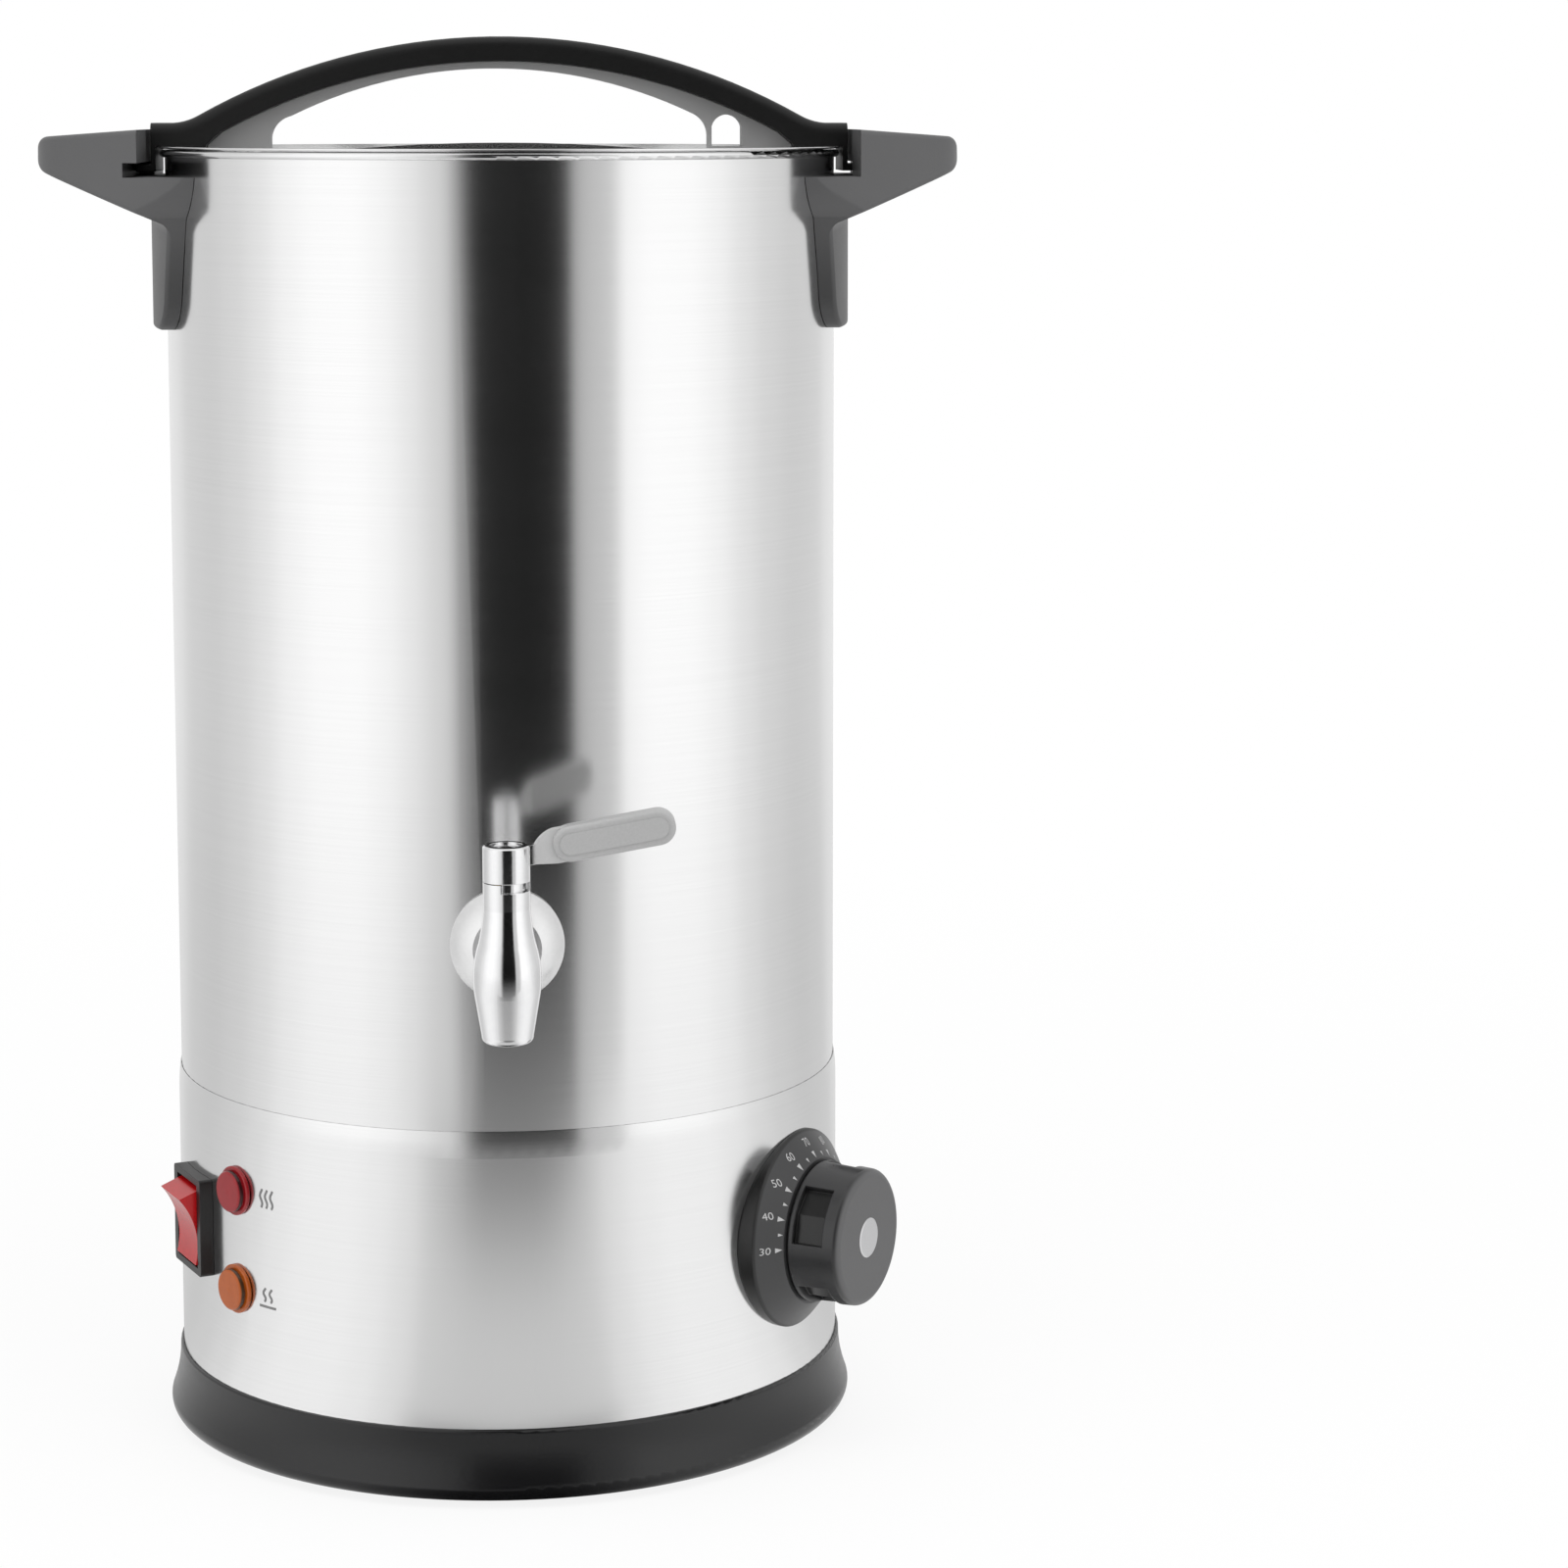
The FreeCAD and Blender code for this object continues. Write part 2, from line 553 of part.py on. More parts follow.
def make_heater():
    """Spreader plate, flattened ring element, clamp bar, studs and nuts under the pot floor."""
    under = floor_height - cell("spreader_wall")
    bottom = under - cell("element_depth")
    spacing, stud = cell("stud_spacing"), cell("stud_radius")
    body = piece("heat_spreader")
    extrude(body, "XY_Plane", [
        ("ring", 0, 0, cell("spreader_radius")), ("ring", spacing, 0, stud + 0.3),
        ("ring", -spacing, 0, stud + 0.3),
    ], cell("spreader_wall"), out=under)

    body = piece("heating_element")
    half = cell("element_width") / 2
    circle = cell("element_circle")
    section = [
        (circle - half, under), (circle - half, bottom + 3),
        ("via", circle, bottom), (circle + half, bottom + 3), (circle + half, under),
    ]
    start = 90 + (360 - cell("element_sweep")) / 2
    revolve(body, [section], angle=cell("element_sweep"), spin=start)
    for side in (-1, 1):
        extrude(body, "XY_Plane", [("ring", circle * side * 0.32, circle * 0.945, 2)], 13,
                reverse=True, out=under - 2)

    body = piece("element_clamp")
    extrude(body, "XY_Plane", [
        box_loop(spacing + 9, cell("clamp_width") / 2, radius=4),
        ("ring", spacing, 0, stud + 0.3), ("ring", -spacing, 0, stud + 0.3),
    ], cell("clamp_wall"), out=bottom - cell("clamp_wall"))

    body = piece("heater_studs")
    for side in (-1, 1):
        extrude(body, "XY_Plane", [("ring", spacing * side, 0, stud)], floor_height - bottom + 8,
                reverse=True, out=floor_height)

    body = piece("heater_nuts")
    for side in (-1, 1):
        flats = hexagon(4.6, spacing * side, 0)
        extrude(body, "XY_Plane", [flats, ("ring", spacing * side, 0, stud + 0.05)], 4,
                reverse=True, out=bottom - cell("clamp_wall"))


def hexagon(corner_radius, x=0, y=0):
    """Six corners about a centre."""
    corner_radius = as_size(corner_radius)
    return [
        (x + corner_radius * round(math.cos(math.radians(60 * i)), 6),
         y + corner_radius * round(math.sin(math.radians(60 * i)), 6)) for i in range(6)
    ]


def make_sensors():
    """Thermal cut-out and the thermostat's bulb, both pressed against the spreader."""
    under = floor_height - cell("spreader_wall")
    body = piece("thermal_cutout")
    extrude(body, "XY_Plane", [("ring", 0, cell("cutout_place"), cell("cutout_radius"))],
            cell("cutout_depth"), reverse=True, out=under)
    extrude(body, "XY_Plane", [box_loop(12, 4, y=cell("cutout_place"), radius=2)], 1.2,
            reverse=True, out=under)
    for side in (-1, 1):
        extrude(body, "XY_Plane", [box_loop(0.4, 3, x=4 * side, y=cell("cutout_place"))], 8,
                reverse=True, out=under - cell("cutout_depth"))

    body = piece("thermostat_bulb")
    place = cell("bulb_place")
    radius = cell("bulb_radius")
    half = cell("bulb_length") / 2
    sketch_height = under - radius - 0.1
    revolve(body, [[
        (-half, 0), (-half, 1), (2 - half, radius), (half - 2, radius), (half, 1), (half, 0),
    ]], axis="H_Axis", rise=sketch_height, out=place)

    body = piece("bulb_clip")
    outer, inner = radius + 1, radius + 0.1
    extrude(body, "YZ_Plane", [[
        (-outer - 7 - place, under), (-outer - 7 - place, under - 1), (-outer - place, under - 1),
        (-outer - place, sketch_height), ("via", -place, sketch_height - outer),
        (outer - place, sketch_height), (outer - place, under),
        (inner - place, under), (inner - place, sketch_height),
        ("via", -place, sketch_height - inner), (-inner - place, sketch_height),
        (-inner - place, under),
    ]], 12, both=True)


# ---- side handles --------------------------------------------------------------------------

def make_side_handle(label, azimuth):
    """Moulded handle: a leg that hugs the pot, a raked grip, and the channel and slot of the lock."""
    body = piece(label)
    reach = pot_radius + cell("grip_reach")
    leg = pot_radius + cell("leg_wall")
    foot = rim_height - cell("leg_length")
    crown = rim_height + cell("grip_crown")
    tip_top = crown - cell("grip_fall")
    tip_low = tip_top - cell("grip_tip")
    half = cell("handle_half_width")
    inner = pot_radius - 20
    # leg: its outer face follows the pot, a little further off at the edges
    leg_edge = root(pot_radius * pot_radius - half * half) + cell("leg_edge_wall")
    extrude(body, "XY_Plane", [[
        (-half, -inner), (-half, -leg_edge), ("via", 0, -leg), (half, -leg_edge), (half, -inner),
    ]], channel_floor - foot, out=foot)
    # grip: raked underside, rounded tip
    extrude(body, "YZ_Plane", [[
        (-inner, crown), (-inner, tip_low - cell("grip_rake")), (-reach, tip_low, 5),
        (-reach + 0.6, tip_top, 4),
    ]], half * 2, both=True)
    tip = cell("grip_tip_half_width")
    shin, ankle = cell("leg_top_half_width"), cell("leg_half_width")
    for side in (-1, 1):
        # plan view: the grip narrows to its rounded tip
        extrude(body, "XY_Plane", [[
            (side * (half + 5), -inner), (side * half, -inner), (side * half, -(pot_radius - 9)),
            ("via", side * (half - 6.1), -(pot_radius + 10.8)), (side * tip, -(reach - 8.5)),
            ("via", side * (tip - 6.9), -(reach - 2.3)), (side * (tip - 16), -reach),
            (side * (tip - 16), -reach - 5), (side * (half + 5), -reach - 5),
        ]], crown - foot + 10, cut=True, reverse=True, out=foot - 5)
        # front view: the leg narrows downwards to a rounded foot
        extrude(body, "XZ_Plane", [[
            (side * (half + 5), foot - 5), (side * (half + 5), channel_floor),
            (side * half, channel_floor), ("via", side * (half - 1.7), channel_floor - 6),
            (side * shin, channel_floor - 12.3), (side * ankle, foot, cell("leg_corner")),
            (side * (ankle - 14), foot), (side * (ankle - 14), foot - 5),
        ]], reach + 5, cut=True, reverse=True)
    edge_radius = cell("handle_edge_radius")
    soften(body, edge_radius, lambda edge: outer_edge(edge, pot_radius, foot + 34))
    soften(body, cell("grip_root_radius"), lambda edge: spans_middle(edge, foot + 5, channel_floor))
    soften(body, edge_radius, lambda edge: outer_edge(edge, leg + 1, crown))
    # the grip is a shell, open underneath for the finger tips
    wall = cell("handle_shell")
    hollow = slot_wall + 2.5
    extrude(body, "XY_Plane", [[
        (10 - half, -hollow, 4), (half - 10, -hollow, 4), (tip - 8, -(reach - wall), 8),
        (8 - tip, -(reach - wall), 8),
    ]], 40 - cell("grip_fall") - wall, cut=True, reverse=True, out=crown - 40)
    revolve(body, [[
        (0, foot - 5), (pot_radius + 0.1, foot - 5), (pot_radius + 0.1, channel_floor),
        (0, channel_floor),
    ]], cut=True)
    # channel for the hook, and the slot beside it where the tongue turns in from one end
    extrude(body, "XY_Plane", [[
        (-half - 5, 5 - inner), (-half - 5, -channel_wall), (half + 5, -channel_wall),
        (half + 5, 5 - inner),
    ]], crown - channel_floor + 5, cut=True, reverse=True, out=channel_floor)
    closed_end = cell("arch_half_width") + cell("lock_end_gap")
    extrude(body, "XY_Plane", [[
        (-closed_end, 1 - channel_wall), (-closed_end, -slot_wall), (half + 5, -slot_wall),
        (half + 5, 1 - channel_wall),
    ]], cell("slot_height"), cut=True, reverse=True, out=channel_floor)
    for drop in ("upper_screw_drop", "lower_screw_drop"):
        extrude(body, "XZ_Plane", [("ring", 0, rim_height - cell(drop), cell("handle_screw_radius") + 0.1)],
                leg - 1.2, cut=True, reverse=True)
    at_azimuth(body, azimuth)


def spans_middle(edge, low, high):
    """The hollow edge across the handle, where the grip's underside meets the leg."""
    box = edge.BoundBox
    bowed = box.YLength > 1 and box.XMin < -20 and box.XMax > 20
    return bowed and box.ZMin > low.number and box.ZMax < high.number


def outer_edge(edge, beyond, below):
    """Edges round the outside of the leg or the grip, without the upright and the level ones."""
    box = edge.BoundBox
    bowed = box.YLength > 0.1 and box.XLength < cell("handle_half_width").number * 0.9
    outside = box.YMax < 9.05 - pot_radius.number and box.YMin < -beyond.number
    return bowed and outside and box.ZMax < below.number


def make_handle_screws():
    """Pan-head screws from inside the pot, two to a handle."""
    body = piece("handle_screws")
    head = pot_inside - 0.2
    radius = cell("handle_screw_radius")
    point = pot_radius + cell("leg_wall") - 1.6
    screws = [
        turned_forward(body, [
            (head - 2, 0), (head - 2, radius + 0.4), (head - 0.8, radius + 1.8), (head, radius + 1.8),
            (head, radius), (point, radius), (point, 0),
        ], rim_height - cell(drop)) for drop in ("upper_screw_drop", "lower_screw_drop")
    ]
    repeat(body, screws, 2)
    at_azimuth(body, 90)


# ---- lid -----------------------------------------------------------------------------------

lid_under = rim_top + cell("lid_lift_gap")
lid_top = lid_under + cell("lid_wall")
lid_skirt = pot_inside - cell("lid_skirt_gap")
lid_edge = lid_under - cell("lid_skirt_depth")
lid_apex = rim_top + cell("lid_dome_rise")
dome_drop = lid_apex - lid_edge - cell("lid_wall")
dome_reach = lid_skirt - cell("lid_wall")


def dome_height(x):
    """Height of the domed lid's outside at a distance from the axis."""
    return lid_apex - dome_drop * (x / dome_reach) * (x / dome_reach)


def make_lid_disc():
    """Spun steel lid: a hemmed brim over the rim, a short skirt and a shallow dome."""
    body = piece("lid_disc")
    wall = cell("lid_wall")
    brim = pot_radius + cell("lid_brim_reach")
    revolve(body, [[
        (0, lid_apex), ("dome",), (dome_reach, lid_edge + wall),
        (dome_reach, lid_top), (brim - wall / 2, lid_top), ("via", brim, lid_under + wall / 2),
        (brim - wall / 2, lid_under), (lid_skirt, lid_under), (lid_skirt, lid_edge),
        (dome_reach, lid_edge), ("dome",), (0, lid_apex - wall),
    ]])
    for x, y in lid_screw_places():
        extrude(body, "XY_Plane", [("ring", x, y, 1.9)], rim_top, cut=True, reverse=True)


def lid_screw_places():
    x = arch_foot + cell("foot_width") / 2
    return [(x * sx, cell("lid_screw_row") * sy) for sx in (-1, 1) for sy in (-1, 1)]


def make_lid_gasket():
    """Silicone ring stretched round the lid's skirt."""
    body = piece("lid_gasket")
    middle = (lid_under + lid_edge) / 2
    half = cell("gasket_height") / 2
    outside = lid_skirt + cell("gasket_wall")
    revolve(body, [[
        (lid_skirt + 0.05, middle - half), (outside - 0.6, middle - half), (outside, middle),
        (outside - 0.6, middle + half), (lid_skirt + 0.05, middle + half),
    ]])


def make_lid_handle():
    """Moulded arch over the lid; each end drops outside the rim to a hook with a tongue."""
    body = piece("lid_handle")
    tongue_low = channel_floor + cell("tongue_lift")
    tongue_high = tongue_low + cell("tongue_wall")
    block = rim_height + cell("block_top")
    over_brim = lid_top + 0.05
    foot_outer = arch_foot + cell("foot_width")
    foot_low = dome_height(arch_foot) + 0.15
    under_end = rim_height + cell("arch_under") - 22
    loop = [
        (tongue_end, tongue_low), (tongue_end, tongue_high), (hook_outside, tongue_high),
        (hook_outside, block), (arch_end, block), ("via", 0, rim_height + cell("arch_top")),
        (-arch_end, block), (-hook_outside, block), (-hook_outside, tongue_high),
        (-tongue_end, tongue_high), (-tongue_end, tongue_low), (-hook_inside, tongue_low),
        (-hook_inside, over_brim), (-foot_outer, over_brim), (-foot_outer, foot_low),
        (-arch_foot, foot_low), (-arch_foot, under_end - 4), (4.5 - arch_foot, under_end),
        ("via", 0, rim_height + cell("arch_under")),
        (arch_foot - 4.5, under_end), (arch_foot, under_end - 4), (arch_foot, foot_low),
        (foot_outer, foot_low), (foot_outer, over_brim), (hook_inside, over_brim),
        (hook_inside, tongue_low),
    ]
    half = cell("arch_half_width")
    extrude(body, "XZ_Plane", [loop], half * 2, both=True)
    soften(body, cell("arch_root_radius"), lambda edge: arch_root(edge, block.number))
    soften(body, 3.2, lambda edge: long_arc(edge, half.number))
    for x, y in lid_screw_places():
        extrude(body, "XY_Plane", [("ring", x, y, 1.55)], over_brim + 4, cut=True, reverse=True)


def arch_root(edge, height):
    """The two level edges where the arch rises from its end blocks."""
    place = edge.CenterOfMass
    return abs(abs(place.x) - arch_end.number) < 0.01 and abs(place.z - height) < 0.01


def long_arc(edge, offset):
    """The arch's outer edges: long arcs on its two faces, above the rim."""
    on_face = abs(abs(edge.CenterOfMass.y) - offset) < 0.01
    return on_face and edge.Length > 150 and edge.BoundBox.ZMax > rim_height.number + 30


def make_lid_handle_web():
    """Inner frame under the arch, with the hand opening, a slim rib and a window beside it."""
    body = piece("lid_handle_web")
    inset = 0.05
    outer = arch_foot - inset
    under_end = rim_height + cell("arch_under") - 22 - inset
    left, right = pot_radius - cell("web_left_inset"), pot_radius - cell("web_right_inset")
    seat = cell("seat_gap")
    top = rim_height + cell("opening_top")
    window_left = right + cell("rib_wall")
    window_right = window_left + cell("window_width")
    middle = (window_left + window_right) / 2
    window_low = dome_height(right) + 2.6
    loop = [
        (outer, dome_height(outer) + seat), (outer, under_end - 4), (outer - 4.5, under_end),
        ("via", 0, rim_height + cell("arch_under") - inset),
        (4.5 - outer, under_end), (-outer, under_end - 4), (-outer, dome_height(outer) + seat),
        (-left, dome_height(left) + seat), (-left, top - 21.6), ("via", -left + 1.2, top - 18.2),
        (-left + 6.0, top - 14.9), ("via", 0, top),
        (right - 4.2, top - 14.2), ("via", right - 0.9, top - 17.4),
        (right, top - 21.0), (right, dome_height(right) + seat),
    ]
    window = [
        (window_left, window_low), (window_right, window_low), (window_right, top - 18.2),
        ("via", middle, top - 14.4), (window_left, top - 18.2),
    ]
    extrude(body, "XZ_Plane", [loop, window], cell("web_half_width") * 2, both=True)


def make_lid_screws():
    body = piece("lid_screws")
    x_place = arch_foot + cell("foot_width") / 2
    seat = dome_height(x_place) - cell("lid_wall") - 0.8
    for sx in (-1, 1):
        for sy in (-1, 1):
            revolve(body, [[
                (0, seat - 2), (1.8, seat - 2), (3.2, seat - 1), (3.2, seat), (1.5, seat),
                (1.5, lid_top + 3), (0, lid_top + 3),
            ]], shift=x_place * sx, out=cell("lid_screw_row") * sy)


# ---- tap -----------------------------------------------------------------------------------

tap_height = cell("tap_height")
tap_axis = pot_radius + cell("tap_reach")
barrel_top = tap_height + cell("barrel_top")
tap_face = pot_radius + cell("washer_wall") + 0.1
hub_radius = cell("tail_radius") + cell("hub_wall")
plug_bore = cell("plug_radius") + cell("running_gap")
barrel_radius = plug_bore + cell("barrel_wall")
spigot = cell("plug_radius") - 1.1


def make_tap_body():
    """Cast tap: threaded tail, hub, and an upright barrel that runs down into the spout."""
    body = piece("tap_body")
    flange_front = tap_face + cell("tap_flange_depth")
    tail_end = pot_radius - cell("tail_length")
    low = tap_height - cell("spout_drop")
    tail = cell("tail_radius")
    spout = cell("outlet_radius") + cell("spout_wall")
    bulge = spout + cell("spout_swell")
    turned_forward(body, [
        (tail_end, 0), (tail_end, tail - 0.8), (tail_end + 0.8, tail), (tap_face + 1, tail),
        (tap_face + 1, hub_radius - 0.05), (flange_front + 4, hub_radius - 0.05),
        ("via", flange_front + 10, hub_radius - 1.2), (tap_axis - 8, hub_radius),
        (tap_axis, hub_radius), (tap_axis, 0),
    ], tap_height)
    revolve(body, [[
        (0, low), (spout - 2, low), ("via", spout - 0.6, low + 0.6), (spout, low + 2.2),
        (bulge - 0.3, tap_height - 6),
        ("via", bulge, tap_height), (bulge - 1.6, tap_height + 9),
        ("via", barrel_radius + 0.35, tap_height + 15), (barrel_radius, tap_height + 19),
        (barrel_radius, barrel_top), (0, barrel_top),
    ]], out=tap_axis)
    revolve(body, [[
        (0, low - 1), (cell("outlet_radius"), low - 1), (cell("outlet_radius"), tap_height - 10),
        (cell("port_radius") + 0.2, tap_height - 9), (cell("port_radius") + 0.2, tap_height - 7),
        (plug_bore, tap_height - 7), (plug_bore, barrel_top + 1), (0, barrel_top + 1),
    ]], out=tap_axis, cut=True)
    turned_forward(body, [
        (tail_end - 1, 0), (tail_end - 1, tail - 3.4), (tap_axis - plug_bore, tail - 3.4),
        (tap_axis - plug_bore + 1, 0),
    ], tap_height, cut=True)
    # quarter-turn stop: a step in the barrel's top edge from the lever's side to the front
    step = barrel_radius - 1.6
    revolve(body, [[
        (step, barrel_top - 2.4), (barrel_radius + 1, barrel_top - 2.4),
        (barrel_radius + 1, barrel_top + 1), (step, barrel_top + 1),
    ]], angle=116, spin=-103, out=tap_axis, cut=True)


def make_tap_fittings():
    """Domed flange, both washers and the nut that clamp the tap to the pot wall."""
    body = piece("tap_flange")
    radius = cell("tap_flange_radius")
    front = tap_face + cell("tap_flange_depth")
    turned_forward(body, [
        (tap_face - 3, hub_radius + 0.1), (tap_face - 3, radius - 0.6), (tap_face, radius),
        ("via", tap_face + 4.8, radius - 3.6), (front, hub_radius + 1.6), (front, hub_radius + 0.1),
    ], tap_height)
    curved_seat(body, tap_face, radius + 2, tap_height)

    body = piece("tap_outer_washer")
    turned_forward(body, [
        (pot_radius - 4, hub_radius + 0.1), (pot_radius - 4, radius - 1), (tap_face + 2, radius - 1),
        (tap_face + 2, hub_radius + 0.1),
    ], tap_height)
    curved_seat(body, pot_radius + 0.05, radius + 2, tap_height)
    revolve(body, [[
        (tap_face - 0.05, tap_height - radius), (tap_face + 9, tap_height - radius),
        (tap_face + 9, tap_height + radius), (tap_face - 0.05, tap_height + radius),
    ]], cut=True)

    body = piece("tap_inner_washer")
    tail, washer = cell("tail_radius"), cell("tap_washer_radius")
    back = pot_inside - 2.6
    turned_forward(body, [
        (back, tail + 0.1), (back, washer), (pot_inside + 1, washer), (pot_inside + 1, tail + 0.1),
    ], tap_height)
    revolve(body, [[
        (pot_inside - 0.05, tap_height - washer - 1), (pot_inside + 9, tap_height - washer - 1),
        (pot_inside + 9, tap_height + washer + 1), (pot_inside - 0.05, tap_height + washer + 1),
    ]], cut=True)

    body = piece("tap_nut")
    flats = [(x, tap_height + y) for x, y in hexagon(cell("nut_flats") / 1.73205)]
    extrude(body, "XZ_Plane", [flats, ("ring", 0, tap_height, tail + 0.05)], cell("nut_wall"),
            out=back - cell("nut_wall") - 0.05)


def make_tap_plug():
    """Turning plug with a side port that closes the way through a quarter turn from open."""
    body = piece("tap_plug")
    radius = cell("plug_radius")
    low = tap_height - 7 + 0.2
    revolve(body, [[
        (0, tap_height + 4), (cell("port_radius"), tap_height + 4), (cell("port_radius"), low),
        (radius, low), (radius, barrel_top + 1.2), (spigot, barrel_top + 1.2), (spigot, barrel_top + 7),
        (1.4, barrel_top + 7), (1.4, barrel_top + 1), (0, barrel_top + 1),
    ]], out=tap_axis)
    extrude(body, "YZ_Plane", [("ring", -tap_axis, tap_height, cell("port_radius"))], radius + 1,
            cut=True)


def make_tap_lever():
    """Cap with its flared neck and blade, and the stop tab that runs in the barrel's step."""
    body = piece("tap_lever")
    low = barrel_top + cell("cap_gap")
    top = barrel_top + cell("cap_height")
    recess = spigot + 1.8
    revolve(body, [[
        (plug_bore, low), (barrel_radius, low), (barrel_radius, top - 0.5), (barrel_radius - 0.5, top),
        (recess, top), (recess, top - 2.2), (1.6, top - 2.2), (1.6, barrel_top + 7.1),
        (spigot + 0.05, barrel_top + 7.1), (spigot + 0.05, barrel_top + 1.25),
        (plug_bore, barrel_top + 1.25),
    ]], out=tap_axis)
    start, end = cell("sleeve_start"), cell("sleeve_start") + cell("sleeve_length")
    lap = start + cell("neck_lap")
    neck = cell("sleeve_height") / 2 - 0.2
    blade = cell("blade_half_height")
    extrude(body, "XZ_Plane", [[
        (5.0, -4.1), (8.0, -4.1), ("via", start - 2.2, 0.4 - neck), (start + 0.5, -neck), (lap, -neck),
        (lap, -blade), (end - 4, -blade, 3), (end - 4, blade, 3), (lap, blade), (lap, neck),
        (start + 0.5, neck), ("via", start - 2.4, neck - 1.1), (8.4, 1.6), (5.6, 1.6),
    ]], cell("blade_wall"), both=True, **lever_place())
    # tab of the quarter-turn stop, at the front end of the lever's side
    revolve(body, [[
        (barrel_radius - 1.2, barrel_top - 2.1), (barrel_radius, barrel_top - 2.1),
        (barrel_radius, low + 0.5), (barrel_radius - 1.2, low + 0.5),
    ]], angle=20, spin=-10, out=tap_axis)


def lever_place():
    """Where the lever's own drawing plane lies: over the barrel, tilted by the lever's slope."""
    return {"out": tap_axis, "rise": barrel_top + cell("lever_axis_rise"), "turn": cell("lever_slope")}


def make_tap_grip():
    """Plastic sleeve pushed over the blade, its cheeks beside the neck and a pad on both faces."""
    body = piece("tap_grip")
    start, length = cell("sleeve_start"), cell("sleeve_length")
    half = cell("sleeve_height") / 2
    middle = start + length / 2
    blade = cell("blade_half_height") + 0.05
    mouth = cell("blade_wall") + 0.1
    extrude(body, "XZ_Plane", [box_loop(length / 2, half, x=middle, radius=half - 0.1)],
            cell("sleeve_wall"), both=True, **lever_place())
    soften(body, 1.2, lambda edge: abs(abs(edge.CenterOfMass.y + tap_axis.number) - 3.2) < 0.01)
    extrude(body, "XZ_Plane", [box_loop(length / 2 - 2, half - 2, x=middle, radius=half - 2.1)],
            cell("sleeve_wall") + 0.6, both=True, **lever_place())
    extrude(body, "XZ_Plane", [[
        (start + 1, -blade), (start + length - 3.95, -blade, 3), (start + length - 3.95, blade, 3),
        (start + 1, blade),
    ]], mouth, cut=True, both=True, **lever_place())
    lap = cell("neck_lap") + 0.05
    extrude(body, "XZ_Plane", [box_loop(lap / 2 + 0.5, half + 1, x=start + lap / 2 - 0.5)], mouth,
            cut=True, both=True, **lever_place())


def make_tap_screw():
    body = piece("tap_screw")
    seat = barrel_top + cell("cap_height") - 2.2
    revolve(body, [[
        (0, barrel_top + 1.4), (1.3, barrel_top + 1.4), (1.3, seat + 0.02),
        (spigot + 0.9, seat + 0.02), (spigot + 0.9, seat + 0.9), ("dome",), (0, seat + 1.8),
    ]], out=tap_axis)


# ---- switch and lamps ----------------------------------------------------------------------

def make_switch():
    """Snap-in rocker switch: bezel on the skirt, body behind it, blades and the rocker."""
    body = piece("switch_housing")
    height = cell("switch_height")
    face = skirt_outside + cell("bezel_stand")
    well_half, well_rise = cell("well_width") / 2, cell("well_height") / 2
    bezel_rise = well_rise + cell("bezel_end")
    extrude(body, "XZ_Plane", [box_loop(well_half + cell("bezel_side"), bezel_rise, y=height,
                                        radius=1.2)], 9, reverse=True, out=face)
    curved_seat(body, skirt_outside + 0.05, bezel_rise * 2, height)
    extrude(body, "XZ_Plane", [box_loop(well_half + 1.2, well_rise + 0.9, y=height)],
            cell("switch_depth"), reverse=True, out=face - 0.6)
    extrude(body, "XZ_Plane", [box_loop(well_half, well_rise, y=height)],
            cell("well_depth"), cut=True, out=face)
    pivot = face - cell("rocker_pivot")
    extrude(body, "YZ_Plane", [("ring", -pivot, height, cell("rocker_pin_radius") + cell("running_gap"))],
            cell("well_width") + 1.6, cut=True, both=True)
    at_azimuth(body, cell("switch_azimuth"))

    body = piece("switch_terminals")
    back = face - 0.6 - cell("switch_depth")
    for x, y in ((-5, -7), (5, -7), (-5, 7), (5, 7)):
        extrude(body, "XZ_Plane", [box_loop(0.4, 3.1, x=x, y=height + y)], 8, reverse=True, out=back)
    at_azimuth(body, cell("switch_azimuth"))

    body = piece("rocker")
    front_rise = well_rise - cell("rocker_front_gap")
    back_rise = well_rise - cell("rocker_back_gap")
    end, back = cell("rocker_end"), cell("rocker_back")
    place = {"shift": -pivot, "rise": height, "turn": cell("rocker_tilt")}
    extrude(body, "YZ_Plane", [[
        (-end, front_rise), ("via", -cell("rocker_dish"), 0), (-end, -front_rise),
        (back, -back_rise), (back, back_rise),
    ]], (well_half - cell("rocker_side_gap")) * 2, both=True, **place)
    extrude(body, "YZ_Plane", [("ring", 0, 0, cell("rocker_pin_radius"))], cell("well_width") + 1.2,
            both=True, **place)
    at_azimuth(body, cell("switch_azimuth"))


